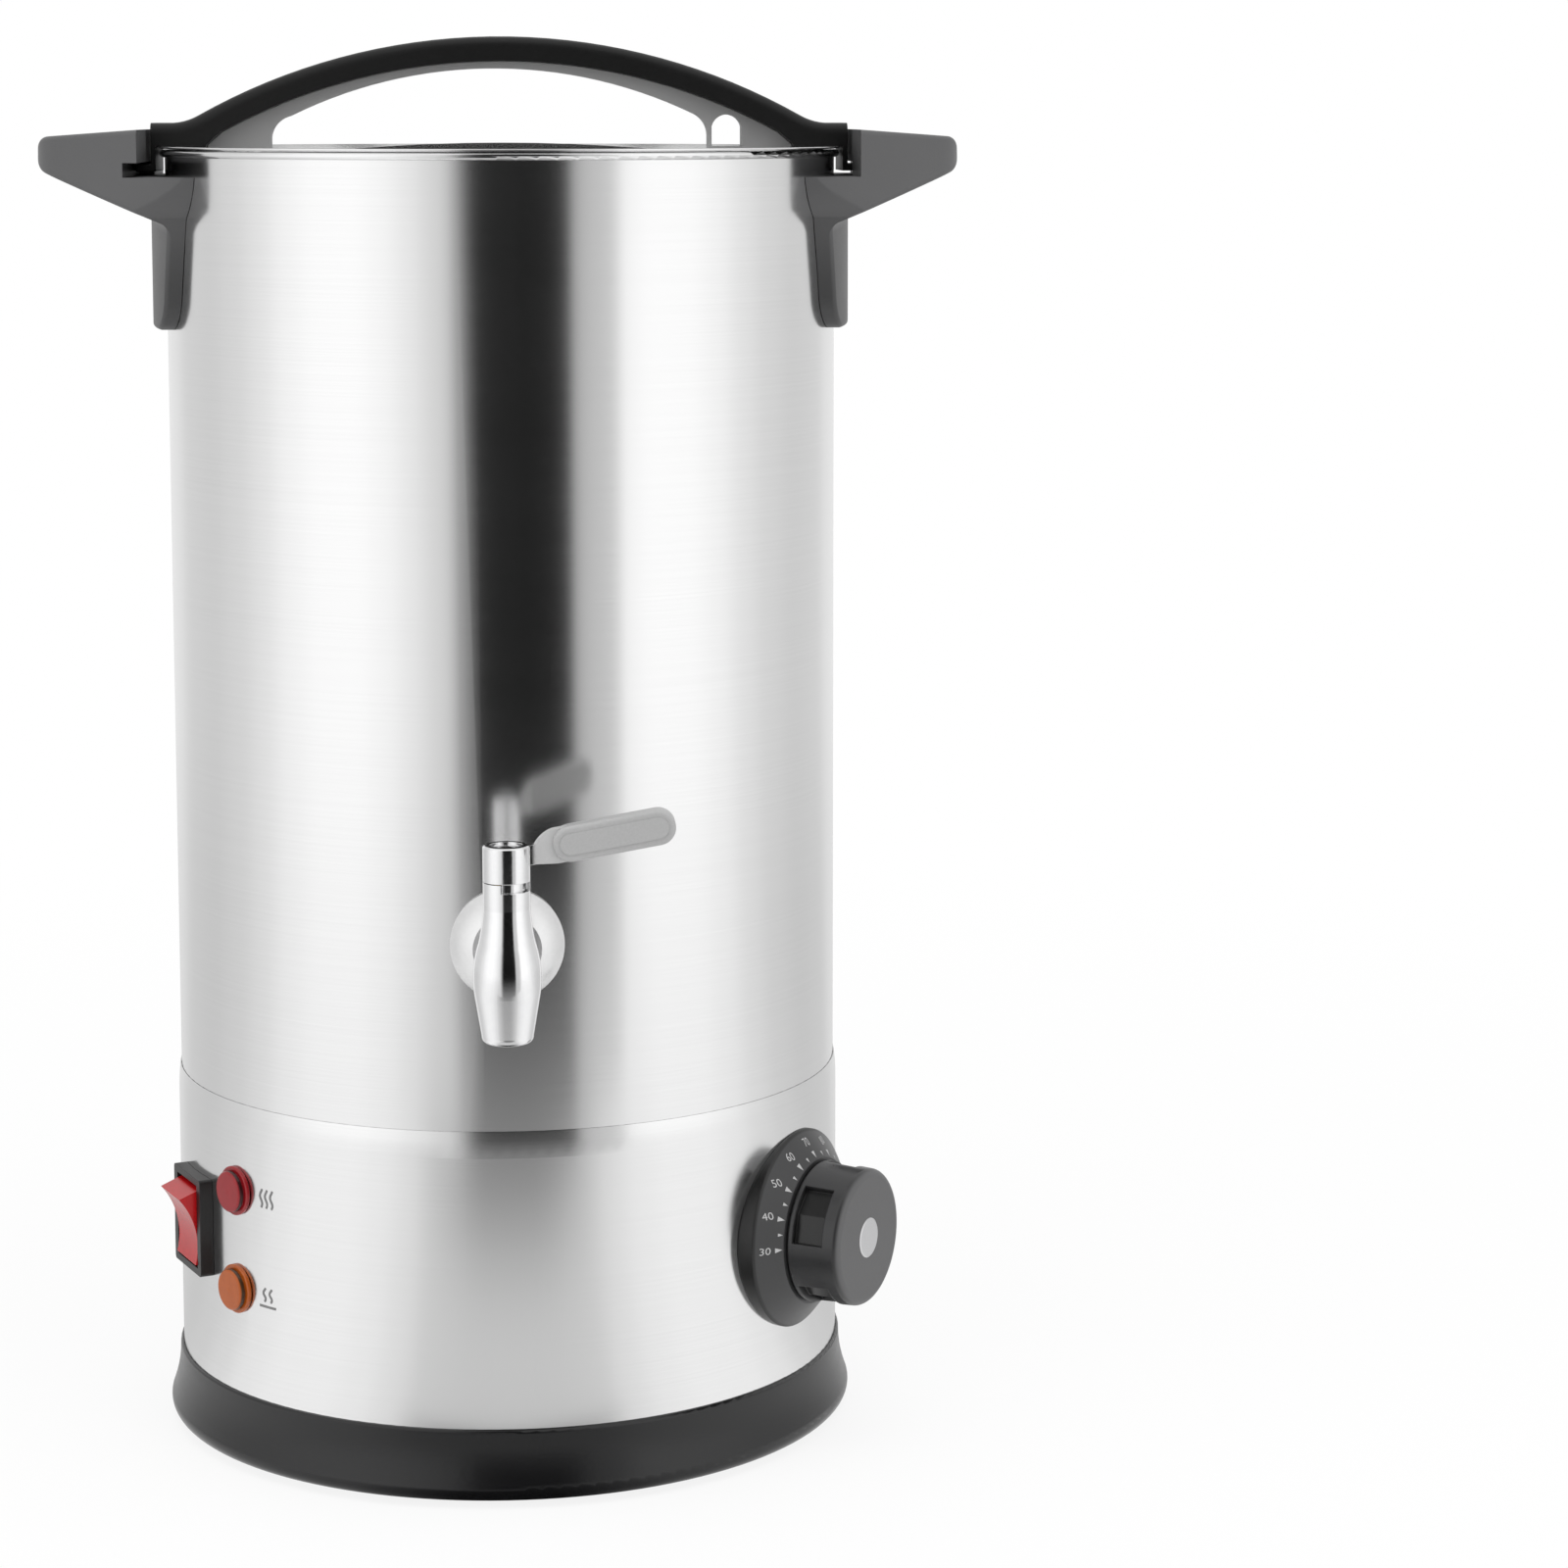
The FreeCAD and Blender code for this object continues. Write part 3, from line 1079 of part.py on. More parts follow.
def make_lamps():
    """Two indicator lamps; the lens clips on a barrel held behind the skirt by a push nut."""
    stand = skirt_outside + 0.05
    radius, lens, depth = cell("lamp_radius"), cell("lens_radius"), cell("lamp_depth")
    barrel = cell("lamp_barrel_radius")
    flange, top = stand + cell("lamp_flange"), stand + cell("lamp_stand")
    for label, side in (("heat_lamp_lens", 1), ("warm_lamp_lens", -1)):
        height = cell("switch_height") + cell("lamp_spacing") * side / 2
        body = piece(label)
        turned_forward(body, [
            (stand - 1, 0), (stand - 1, barrel), (stand, barrel), (stand, radius),
            (flange - 0.3, radius), (flange, radius - 0.4), (flange, lens - 0.3),
            (flange + 0.4, lens - 0.3), (flange + 0.4, lens), (top - 0.8, lens),
            ("via", top - 0.3, lens - 0.3), (top - 0.1, lens - 1.0), (top, 0),
        ], height)
        at_azimuth(body, cell("lamp_azimuth"))
    body = piece("lamp_barrels")
    for side in (-1, 1):
        height = cell("switch_height") + cell("lamp_spacing") * side / 2
        turned_forward(body, [
            (stand - 1.05, 0), (stand - 1.05, barrel), (stand - depth, barrel), (stand - depth, 0),
        ], height)
        for x in (-2, 2):
            extrude(body, "XZ_Plane", [box_loop(0.4, 1.4, x=x, y=height)], 7, reverse=True,
                    out=stand - depth)
    at_azimuth(body, cell("lamp_azimuth"))
    body = piece("lamp_push_nuts")
    bore, inside = barrel + 0.05, skirt_inside - 0.5
    for side in (-1, 1):
        height = cell("switch_height") + cell("lamp_spacing") * side / 2
        turned_forward(body, [
            (inside, bore), (inside, bore + 2.55), (inside - 0.8, bore + 2.55), (inside - 1.4, bore + 1),
            (inside - 2, bore),
        ], height)
    at_azimuth(body, cell("lamp_azimuth"))


# ---- thermostat and knob -------------------------------------------------------------------

def make_thermostat():
    """Capillary thermostat behind the skirt, its screws, dial plate, spindle and knob."""
    height = cell("knob_height")
    azimuth = cell("knob_azimuth")
    half = cell("thermostat_half_width")
    front = root(skirt_inside * skirt_inside - half * half) - cell("thermostat_gap")
    shaft = cell("shaft_radius")
    spacing = cell("thermostat_screw_spacing") / 2
    face = skirt_outside + cell("dial_stand")

    body = piece("thermostat_body")
    extrude(body, "XZ_Plane", [box_loop(half, 18, y=height, radius=2)], 2, reverse=True, out=front)
    extrude(body, "XZ_Plane", [box_loop(half - 2, 15, y=height, radius=3)],
            cell("thermostat_depth") - 2, reverse=True, out=front - 2)
    for x, y in ((-7, 8), (7, 8), (0, -9)):
        extrude(body, "XZ_Plane", [box_loop(3.1, 0.4, x=x, y=height + y)], 8, reverse=True,
                out=front - cell("thermostat_depth"))
    extrude(body, "XZ_Plane", [("ring", 0, height, shaft + cell("running_gap"))], 12, cut=True,
            out=front)
    for side in (-1, 1):
        extrude(body, "XZ_Plane", [("ring", 0, height + spacing * side, fixing + 0.05)], 6, cut=True,
                out=front)
    at_azimuth(body, azimuth)

    body = piece("dial_plate")
    outside = cell("dial_radius")
    rim = skirt_outside + cell("dial_rim")
    turned_forward(body, [
        (skirt_outside - 9, shaft + 1.5), (skirt_outside - 9, outside - 0.3), (rim - 0.4, outside),
        (rim, outside - 0.4), (face, cell("knob_radius") + cell("dial_margin")), (face, shaft + 1.5),
    ], height)
    curved_seat(body, skirt_outside + 0.05, outside + 2, height)
    for side in (-1, 1):
        screw = height + spacing * side
        extrude(body, "XZ_Plane", [("ring", 0, screw, fixing + cell("hole_play"))], 20, cut=True, out=face)
        extrude(body, "XZ_Plane", [("ring", 0, screw, fixing + 2.1)], 2.4, cut=True, out=face)
    at_azimuth(body, azimuth)

    body = piece("thermostat_screws")
    for side in (-1, 1):
        turned_forward(body, [
            (front - 5.5, 0), (front - 5.5, fixing), (face - 2.4, fixing), (face - 2.4, fixing + 1.7),
            (face - 0.8, fixing + 1.7), (face - 0.5, fixing + 1.1), (face - 0.5, 0),
        ], height + spacing * side)
    at_azimuth(body, azimuth)

    body = piece("thermostat_shaft")
    turned_forward(body, [
        (front - 11, 0), (front - 11, shaft), (face + 12, shaft), (face + 12, 0),
    ], height)
    at_azimuth(body, azimuth)

    body = piece("knob")
    radius = cell("knob_radius")
    back = face + cell("dial_gap")
    front_face = skirt_outside + cell("knob_face")
    turned_forward(body, [
        (back, shaft + 0.02), (back, radius - 0.6), (back + 0.6, radius),
        (front_face - 2.4, radius - 0.7), ("via", front_face - 0.7, radius - 1.4),
        (front_face, radius - 3), (front_face, 0), (face + 12.2, 0), (face + 12.2, shaft + 0.02),
    ], height)
    finger_grips(body, back, height)
    turned_forward(body, [
        (front_face - 0.8, 0), (front_face - 0.8, cell("disc_radius") + 0.05),
        (front_face + 1, cell("disc_radius") + 0.05), (front_face + 1, 0),
    ], height, cut=True)
    at_azimuth(body, azimuth)

    body = piece("knob_disc")
    turned_forward(body, [
        (front_face - 0.8, 0), (front_face - 0.8, cell("disc_radius")),
        (front_face, cell("disc_radius")), (front_face + 0.2, cell("disc_radius") - 0.4),
        (front_face + 0.2, 0),
    ], height)
    at_azimuth(body, azimuth)


def finger_grips(body, back, height):
    """Four recesses round the knob, each with a floor of two flats that meet in a low ridge."""
    radius = cell("knob_radius")
    floor = radius - cell("grip_floor")
    depth = cell("knob_face") - cell("dial_stand") - cell("dial_gap")
    half_angle = cell("grip_angle").number / 2
    for middle in (61, 151, 241, 331):
        loop = []
        for angle, reach in ((-half_angle, radius + 4), (-half_angle, floor), (0, floor + 0.6),
                             (half_angle, floor), (half_angle, radius + 4)):
            turn = math.radians(middle + angle)
            loop.append((reach * round(-math.sin(turn), 6), height + reach * round(math.cos(turn), 6)))
        extrude(body, "XZ_Plane", [loop], depth - cell("knob_lip") - cell("knob_cap"), cut=True,
                reverse=True, out=back + cell("knob_lip"))


# ---- mains inlet ---------------------------------------------------------------------------

def make_inlet():
    """Panel inlet at the back: flange on the skirt, socket well, three pins and two screws."""
    body = piece("inlet_housing")
    height = cell("inlet_height")
    face = skirt_outside + cell("inlet_stand")
    half_spacing = cell("inlet_screw_spacing") / 2
    extrude(body, "XZ_Plane", [
        box_loop(cell("inlet_flange_width") / 2, cell("inlet_flange_height") / 2, y=height, radius=5),
        ("ring", half_spacing, height, fixing + 0.2), ("ring", -half_spacing, height, fixing + 0.2),
    ], 9, reverse=True, out=face)
    curved_seat(body, skirt_outside + 0.05, cell("inlet_flange_height"), height)
    extrude(body, "XZ_Plane", [box_loop(cell("inlet_body_width") / 2, cell("inlet_body_height") / 2,
                                        y=height)], cell("inlet_body_depth"), reverse=True,
            out=face - 0.6)
    well_width = cell("inlet_body_width") / 2 - cell("inlet_wall")
    well_height = cell("inlet_body_height") / 2 - cell("inlet_wall")
    extrude(body, "XZ_Plane", [[
        (-well_width, height - well_height), (well_width, height - well_height),
        (well_width, height + well_height - 4.5), (well_width - 4.5, height + well_height),
        (4.5 - well_width, height + well_height), (-well_width, height + well_height - 4.5),
    ]], cell("inlet_well_depth"), cut=True, out=face)
    at_azimuth(body, 180)

    body = piece("inlet_pins")
    floor = face - cell("inlet_well_depth")
    for x, y in ((-7, -2), (7, -2), (0, 2)):
        extrude(body, "XZ_Plane", [box_loop(1, 2, x=x, y=height + y)], 14, out=floor)
    at_azimuth(body, 180)

    body = piece("inlet_screws")
    for side in (-1, 1):
        seat = face + 0.02
        revolve(body, [[
            (seat - 9, 0), (seat - 9, fixing), (seat, fixing), (seat, fixing + 1.4),
            (seat + 1, fixing + 1.2), (seat + 1.8, fixing + 0.1), (seat + 1.8, 0),
        ]], plane="YZ_Plane", axis="H_Axis", rise=height, out=half_spacing * side)
    at_azimuth(body, 0)


def write_pieces():
    """Stop on any failed object or bad shape, then write one STEP file for each piece."""
    doc.recompute()
    for thing in doc.Objects:
        if "Invalid" in thing.State or "Error" in thing.State:
            raise ValueError("%s failed: %s" % (thing.Label, thing.State))
    for body in pieces:
        if body.Shape.isNull() or not body.Shape.isValid() or not body.Shape.Solids:
            raise ValueError("%s has no valid solid" % body.Label)
    os.makedirs("parts", exist_ok=True)
    for body in pieces:
        body.Shape.exportStep("parts/%s.step" % body.Label)
        print("%-20s %d solid(s) %10.1f mm3" % (body.Label, len(body.Shape.Solids), body.Shape.Volume))


make_tank()
make_tank_floor()
make_skirt()
make_base_ring()
make_bottom_cover()
make_feet()
make_cover_screws()
make_heater()
make_sensors()
make_side_handle("side_handle_right", 90)
make_side_handle("side_handle_left", -90)
make_handle_screws()
make_lid_disc()
make_lid_gasket()
make_lid_handle()
make_lid_handle_web()
make_lid_screws()
make_tap_body()
make_tap_fittings()
make_tap_plug()
make_tap_lever()
make_tap_grip()
make_tap_screw()
make_switch()
make_lamps()
make_thermostat()
make_inlet()
write_pieces()
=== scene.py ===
import math

import bmesh
import bpy
from mathutils import Matrix, Vector


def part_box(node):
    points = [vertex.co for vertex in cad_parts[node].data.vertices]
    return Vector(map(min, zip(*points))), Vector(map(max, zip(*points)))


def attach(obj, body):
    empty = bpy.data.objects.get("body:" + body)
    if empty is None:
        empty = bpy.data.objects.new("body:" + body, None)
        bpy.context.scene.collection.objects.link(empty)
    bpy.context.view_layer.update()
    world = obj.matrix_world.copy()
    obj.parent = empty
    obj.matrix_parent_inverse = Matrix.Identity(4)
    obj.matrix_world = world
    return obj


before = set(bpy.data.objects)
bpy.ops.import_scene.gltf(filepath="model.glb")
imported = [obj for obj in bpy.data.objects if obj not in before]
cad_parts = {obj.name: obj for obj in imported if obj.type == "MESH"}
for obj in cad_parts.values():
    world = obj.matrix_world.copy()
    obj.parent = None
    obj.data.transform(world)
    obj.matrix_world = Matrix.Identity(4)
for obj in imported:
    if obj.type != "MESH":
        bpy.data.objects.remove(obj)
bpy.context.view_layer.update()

# ---------------------------------------------------------------------------------------------
# Studio.  A white table in a round light tent, brightest at both sides of the camera, under a wide
# light.  Three cards that only reflections see shade the pot's front and the lid's dome.  The camera
# looks slightly down on the base and almost along the rim's plane.

SIDEWAYS = (1.0, 0.0, 0.0)
FORWARD = (0.0, -1.0, 0.0)
BACKWARD = (0.0, 1.0, 0.0)
UPWARD = (0.0, 0.0, 1.0)
POT_FOOT = (0.0, 0.0, 0.0)


class Signal:
    """A value that varies over a surface; sums of signals are written as plain Python."""

    def __init__(self, finish, socket):
        self.finish = finish
        self.socket = socket

    def maths(self, operation, first, second=0.0):
        """Adds a Math node; an operation on one value leaves the second out."""
        return self.finish.node("ShaderNodeMath", {"operation": operation}, {0: first, 1: second})

    def __add__(self, other):
        return self.maths("ADD", self, other)

    def __sub__(self, other):
        return self.maths("SUBTRACT", self, other)

    def __rsub__(self, other):
        return self.maths("SUBTRACT", other, self)

    def __mul__(self, other):
        return self.maths("MULTIPLY", self, other)

    __radd__ = __add__
    __rmul__ = __mul__


class Finish:
    """A node material, or the room's nodes, under construction."""

    def __init__(self, name, library=bpy.data.materials):
        self.owner = library.new(name)
        self.owner.use_nodes = True
        self.tree = self.owner.node_tree
        self.tree.nodes.clear()

    def node(self, kind, settings=None, values=None, output=0):
        """Adds a node, applies its settings, feeds its sockets and returns one output."""
        made = self.tree.nodes.new(kind)
        for name, setting in (settings or {}).items():
            if name == "stops":
                ramp = made.color_ramp
                ramp.interpolation = "EASE"
                for element, (place, grey) in zip(ramp.elements, (setting[0], setting[-1])):
                    element.position = place
                    element.color = (grey, grey, grey, 1)
                for place, grey in setting[1:-1]:
                    ramp.elements.new(place).color = (grey, grey, grey, 1)
            else:
                setattr(made, name, setting)
        for name, value in (values or {}).items():
            if isinstance(value, Signal):
                self.tree.links.new(value.socket, made.inputs[name])
            elif isinstance(value, tuple) and len(value) == 3 and made.inputs[name].type == "RGBA":
                made.inputs[name].default_value = (*value, 1)
            else:
                made.inputs[name].default_value = value
        return Signal(self, made.outputs[output]) if made.outputs else None

    def place(self):
        """Where a point of the surface is on the object at rest, in metres."""
        return self.node("ShaderNodeTexCoord", output="Object")

    def along(self, direction):
        """How far the surface's place is along a direction from the middle of the pot's foot."""
        return self.node("ShaderNodeVectorMath", {"operation": "DOT_PRODUCT"},
                         {0: self.place(), 1: direction}, "Value")

    def away_from(self, point, across=(1.0, 1.0, 1.0)):
        """Distance from a point; a zero in across leaves that axis out."""
        gap = self.node("ShaderNodeVectorMath", {"operation": "SUBTRACT"}, {0: self.place(), 1: point})
        kept = self.node("ShaderNodeVectorMath", {"operation": "MULTIPLY"}, {0: gap, 1: across})
        return self.node("ShaderNodeVectorMath", {"operation": "LENGTH"}, {0: kept}, "Value")

    def bearing(self):
        """Degrees round the pot from the side that faces the camera, alike to left and right."""
        sideways = self.along(SIDEWAYS)
        turn = sideways.maths("ARCTAN2", sideways.maths("ABSOLUTE", sideways), self.along(FORWARD))
        return turn * (180 / math.pi)

    def stretched(self, x, y, z):
        """The surface's place with each axis scaled, for a grain that runs along the others."""
        return self.node("ShaderNodeMapping", {"vector_type": "POINT"},
                         {"Vector": self.place(), "Scale": (x, y, z)})

    def noise(self, scale, detail=3.0, roughness=0.5, where=None):
        """Soft irregular patches, finer at a larger scale."""
        return self.node("ShaderNodeTexNoise", None,
                         {"Vector": where or self.place(), "Scale": scale, "Detail": detail,
                          "Roughness": roughness})

    def rings(self, distance, scale):
        """Fine turning lines, even in width, at each distance from an axis."""
        return self.node("ShaderNodeTexNoise", {"noise_dimensions": "1D"},
                         {"W": distance, "Scale": scale, "Detail": 2.0})

    def ramp(self, value, low, high, low_level=0.0, high_level=1.0):
        """Goes smoothly from one level to the other while the value goes from low to high."""
        return self.node("ShaderNodeMapRange", {"interpolation_type": "SMOOTHSTEP"},
                         {"Value": value, "From Min": low, "From Max": high,
                          "To Min": low_level, "To Max": high_level})

    def mix(self, mask, low, high):
        """Blends two colours by a mask; 6, 7 and 2 are the Mix node's sockets for colours."""
        return self.node("ShaderNodeMix", {"data_type": "RGBA"}, {0: mask, 6: low, 7: high}, 2)

    def blend(self, mask, low, high):
        """Blends two shaders by a mask."""
        return self.node("ShaderNodeMixShader", None, {0: mask, 1: low, 2: high})

    def soft_edges(self, radius):
        """The surface's direction with its sharp edges broken by a small radius."""
        return self.node("ShaderNodeBevel", {"samples": 6}, {"Radius": radius})

    def bump(self, height, depth, strength, edge=0.0):
        """The surface's direction over a fine relief, with its edges broken if a radius is given."""
        values = {"Height": height, "Distance": depth, "Strength": strength}
        if edge:
            values["Normal"] = self.soft_edges(edge)
        return self.node("ShaderNodeBump", None, values)

    def in_sight(self):
        """1 where the camera sees a thing straight, in a reflection or through glass."""
        seen = [self.node("ShaderNodeLightPath", output=ray)
                for ray in ("Is Camera Ray", "Is Glossy Ray", "Is Transmission Ray")]
        return self.node("ShaderNodeClamp", None, {"Value": seen[0] + seen[1] + seen[2]})

    def glow(self, shade, strength=1.0):
        """A shader that gives light of its own."""
        return self.node("ShaderNodeEmission", None, {"Color": shade, "Strength": strength})

    def finish_with(self, shader):
        """Ends the material with a shader."""
        self.node("ShaderNodeOutputMaterial", None, {"Surface": shader})
        return self.owner

    def surface(self, **sockets):
        """Ends the material with one Principled shader; sockets are named in words."""
        values = {name.replace("_", " ").title().replace("Ior", "IOR"): value
                  for name, value in sockets.items()}
        return self.finish_with(self.node("ShaderNodeBsdfPrincipled", None, values))


SMOOTH_UP_TO = math.radians(35)


def new_piece(name, shape, finish):
    """Turns a bmesh into an object with its material, smooth except at its sharper edges."""
    mesh = bpy.data.meshes.new(name)
    bmesh.ops.recalc_face_normals(shape, faces=shape.faces)
    shape.to_mesh(mesh)
    shape.free()
    mesh.materials.append(finish)
    for face in mesh.polygons:
        face.use_smooth = True
    mesh.set_sharp_from_angle(angle=SMOOTH_UP_TO)
    piece = bpy.data.objects.new(name, mesh)
    bpy.context.scene.collection.objects.link(piece)
    return piece


def hide_from(piece, *rays):
    """Takes a piece out of sight of some kinds of light ray."""
    for ray in rays:
        setattr(piece, "visible_" + ray, False)


def board(name, width, height, centre, facing, finish):
    """A flat card that faces a direction and is seen only in reflections."""
    shape = bmesh.new()
    corners = [(-width / 2, -height / 2), (width / 2, -height / 2),
               (width / 2, height / 2), (-width / 2, height / 2)]
    shape.faces.new([shape.verts.new((x, y, 0)) for x, y in corners])
    turn = Vector(facing).to_track_quat("Z", "Y").to_matrix().to_4x4()
    shape.transform(Matrix.Translation(centre) @ turn)
    panel = new_piece(name, shape, finish)
    hide_from(panel, "camera", "shadow", "diffuse", "transmission")


scene = bpy.context.scene
scene.view_settings.view_transform = "Standard"

IMAGE_PIXELS = 1600
FOCAL_PIXELS = 4006
CAMERA_PLACE = (0.0029, -1.25, 0.416)
CAMERA_YAW = math.radians(3.96)
CAMERA_PITCH = math.radians(6.99)
CAMERA_SHIFT = -0.12
camera_data = bpy.data.cameras.new("camera")
camera_data.sensor_width = 36
camera_data.lens = FOCAL_PIXELS / IMAGE_PIXELS * camera_data.sensor_width
camera_data.shift_y = CAMERA_SHIFT
camera_data.clip_start = 0.05
camera_data.clip_end = 50
camera = bpy.data.objects.new("camera", camera_data)
camera.location = CAMERA_PLACE
camera.rotation_euler = (math.pi / 2 - CAMERA_PITCH, 0, -CAMERA_YAW)
scene.collection.objects.link(camera)
scene.camera = camera

# the room is white where it is seen and dimmer where it lights the pot
WHITE = (1.0, 1.0, 1.0)
ROOM_LIGHT = 0.62
room = Finish("studio", bpy.data.worlds)
scene.world = room.owner
lit = room.node("ShaderNodeBackground", None, {"Color": WHITE, "Strength": ROOM_LIGHT})
white = room.node("ShaderNodeBackground", None, {"Color": WHITE, "Strength": 1.0})
room.node("ShaderNodeOutputWorld", None, {"Surface": room.blend(room.in_sight(), lit, white)})

# brightness of the tent at each bearing in degrees, in front of the pot first
TENT_LEVELS = ((0, 0.60), (22, 0.66), (30, 0.80), (40, 0.93), (50, 0.99), (64, 0.98), (76, 0.90),
               (88, 0.76), (100, 0.66), (116, 0.60), (132, 0.62), (150, 0.72), (180, 0.76))
TENT_STRENGTH = 1.2
TENT_RADIUS = 2.3
TENT_HEIGHT = 2.5
ROUND_SIDES = 96


def tent_glow(finish, share=1.0):
    """The tent's light, or the share of it that the table throws back."""
    stops = [(turn / 180, grey) for turn, grey in TENT_LEVELS]
    level = finish.node("ShaderNodeValToRGB", {"stops": stops}, {"Fac": finish.bearing() * (1 / 180)})
    return finish.glow(level * share, TENT_STRENGTH)


tent = Finish("light_tent")
tent.finish_with(tent_glow(tent))
shape = bmesh.new()
bmesh.ops.create_circle(shape, radius=TENT_RADIUS, segments=ROUND_SIDES)
for item in bmesh.ops.extrude_edge_only(shape, edges=list(shape.edges))["geom"]:
    if isinstance(item, bmesh.types.BMVert):
        item.co.z = TENT_HEIGHT
wall = new_piece("light_tent", shape, tent.owner)
hide_from(wall, "camera", "shadow", "transmission")

# where the table is seen it is almost evenly white, and takes a soft shadow only near the pot;
# polished metal sees the tent's light on it instead
TABLE_RADIUS = 6.0
TABLE_SHADE = (0.93, 0.93, 0.93)
TENT_SHARE_REACH = (0.15, 1.8)
TENT_SHARE = (0.86, 0.99)
WHITE_SHARE_REACH = (0.25, 1.0)
WHITE_SHARE = (0.86, 1.0)
table = Finish("table_white")
bare = table.node("ShaderNodeBsdfDiffuse", None, {"Color": TABLE_SHADE})
mirrored = table.node("ShaderNodeLightPath", output="Is Glossy Ray")
from_middle = table.away_from(POT_FOOT)
tent_share = table.ramp(from_middle, *TENT_SHARE_REACH, *TENT_SHARE)
pale = table.blend(mirrored, table.glow(WHITE), tent_glow(table, tent_share))
white_share = table.ramp(from_middle, *WHITE_SHARE_REACH, *WHITE_SHARE)
table.finish_with(table.blend(table.in_sight() * white_share, bare, pale))
shape = bmesh.new()
bmesh.ops.create_circle(shape, cap_ends=True, radius=TABLE_RADIUS, segments=ROUND_SIDES)
new_piece("table", shape, table.owner)

# the black card stands before the pot; it has soft edges, a thin grey band at its right, and
# thins out downwards
CARD_DISTANCE = 0.50
CARD_SIZE = (0.60, 1.1)
CARD_MIDDLE = (0.10, -CARD_DISTANCE, 0.55)
CARD_SHADE = (0.006, 0.006, 0.006)
CARD_LEFT = -0.119
CARD_RIGHT = 0.190
BAND_RIGHT = 0.366
LEFT_BLUR = 0.045
RIGHT_BLUR = 0.012
BAND_BLUR = 0.025
BAND_SHARE = 0.36
THINNING = (-0.06, 0.15)
THIN_SHARE = 0.55
card = Finish("black_card")
across = card.along(SIDEWAYS)
left = card.ramp(across, CARD_LEFT - LEFT_BLUR, CARD_LEFT + LEFT_BLUR)
right = card.ramp(across, CARD_RIGHT - RIGHT_BLUR, CARD_RIGHT + RIGHT_BLUR, 1.0, BAND_SHARE)
right = right * card.ramp(across, BAND_RIGHT - BAND_BLUR, BAND_RIGHT + BAND_BLUR, 1.0, 0.0)
solid = card.ramp(card.along(UPWARD), *THINNING, THIN_SHARE, 1.0)
card.finish_with(card.blend(left * right * solid, card.node("ShaderNodeBsdfTransparent"),
                            card.glow(CARD_SHADE)))
board("black_card", *CARD_SIZE, CARD_MIDDLE, BACKWARD, card.owner)

# the grey card is painted shade that only polished metal sees, lying on the table between the black
# one and the pot: almost black beside the pot's foot as a painted shadow of the pot, lightest beyond
# it, darker again further out, and fading to both sides
GREY_START = 0.09
GREY_WIDTH = 0.70
GREY_LIFT = 0.0005
GREY_MIDDLE = (0.0, -(CARD_DISTANCE + GREY_START) / 2, GREY_LIFT)
GREY_REACH = (0.26, 0.54)
GREY_SHADE_TONES = (0.66, 0.22)
FOOT_SHADOW_REACH = (0.155, 0.176)
FOOT_SHADOW_TONE = 0.03
GREY_BEARINGS = (6.0, 32.0)
grey = Finish("painted_shade_card")
reach = grey.along(FORWARD)
# painted shade: the card's tone stands in for the table's shade and the pot's shadow in reflections
table_shade_tone = grey.ramp(reach, *GREY_REACH, *GREY_SHADE_TONES) * grey.ramp(reach, *FOOT_SHADOW_REACH, FOOT_SHADOW_TONE, 1.0)
hold = grey.ramp(grey.bearing(), *GREY_BEARINGS, 1.0, 0.0)
grey.finish_with(grey.blend(hold, grey.node("ShaderNodeBsdfTransparent"), grey.glow(table_shade_tone)))
board("painted_shade_card", GREY_WIDTH, CARD_DISTANCE - GREY_START, GREY_MIDDLE, UPWARD, grey.owner)

# a low dark card stands far behind the pot, where only the lid's shallow dome mirrors it
FAR_SIZE = (0.75, 0.50)
FAR_MIDDLE = (0.0, 1.1, 0.660)
FAR_SHADE = (0.02, 0.02, 0.02)
far = Finish("far_card")
board("far_card", *FAR_SIZE, FAR_MIDDLE, FORWARD, far.finish_with(far.glow(FAR_SHADE)))

# the wide light hangs before the pot and leaves no spot of its own in polished metal
LIGHT_PLACE = (0.0, -0.5, 1.9)
LIGHT_AIM = (0.0, 0.0, 0.2)
LIGHT_ENERGY = 14
light_data = bpy.data.lights.new("overhead", "AREA")
light_data.shape = "RECTANGLE"
light_data.size = 1.6
light_data.size_y = 1.2
light_data.energy = LIGHT_ENERGY
light = bpy.data.objects.new("overhead", light_data)
light.location = LIGHT_PLACE
light.rotation_euler = (Vector(LIGHT_PLACE) - Vector(LIGHT_AIM)).to_track_quat("Z", "Y").to_euler()
light.visible_glossy = False
scene.collection.objects.link(light)

# ---------------------------------------------------------------------------------------------
# Base.  A moulded satin ring carries the steel skirt on its inside ledge; a vented zinc-plated
# plate is screwed on under the ledge, with four rubber buttons below it as feet.


def dress(finish, *names):
    """Gives carried-over nodes of the frame their finish."""
    for name in names:
        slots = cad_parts[name].data.materials
        slots.clear()
        slots.append(finish)


plastic = Finish("base_plastic")
grain = plastic.noise(900.0, 4.0)
patches = plastic.noise(25.0)
scuffs = plastic.noise(1.0, 4.0, where=plastic.stretched(40.0, 40.0, 260.0))
base_plastic = plastic.surface(
    base_color=plastic.mix(patches, (0.004, 0.004, 0.0045), (0.007, 0.007, 0.0075)),
    roughness=grain * 0.06 + scuffs * 0.08 + 0.16, specular_ior_level=0.5,
    normal=plastic.bump(grain, 0.00006, 0.5, edge=0.0006))
dress(base_plastic, "base_ring")

zinc = Finish("zinc_plate")
spangle = zinc.noise(160.0, 5.0)
zinc_plate = zinc.surface(
    base_color=zinc.mix(spangle, (0.42, 0.43, 0.44), (0.62, 0.63, 0.63)), metallic=1.0,
    roughness=spangle * 0.25 + 0.3, normal=zinc.bump(spangle, 0.0001, 0.3))
dress(zinc_plate, "bottom_cover")

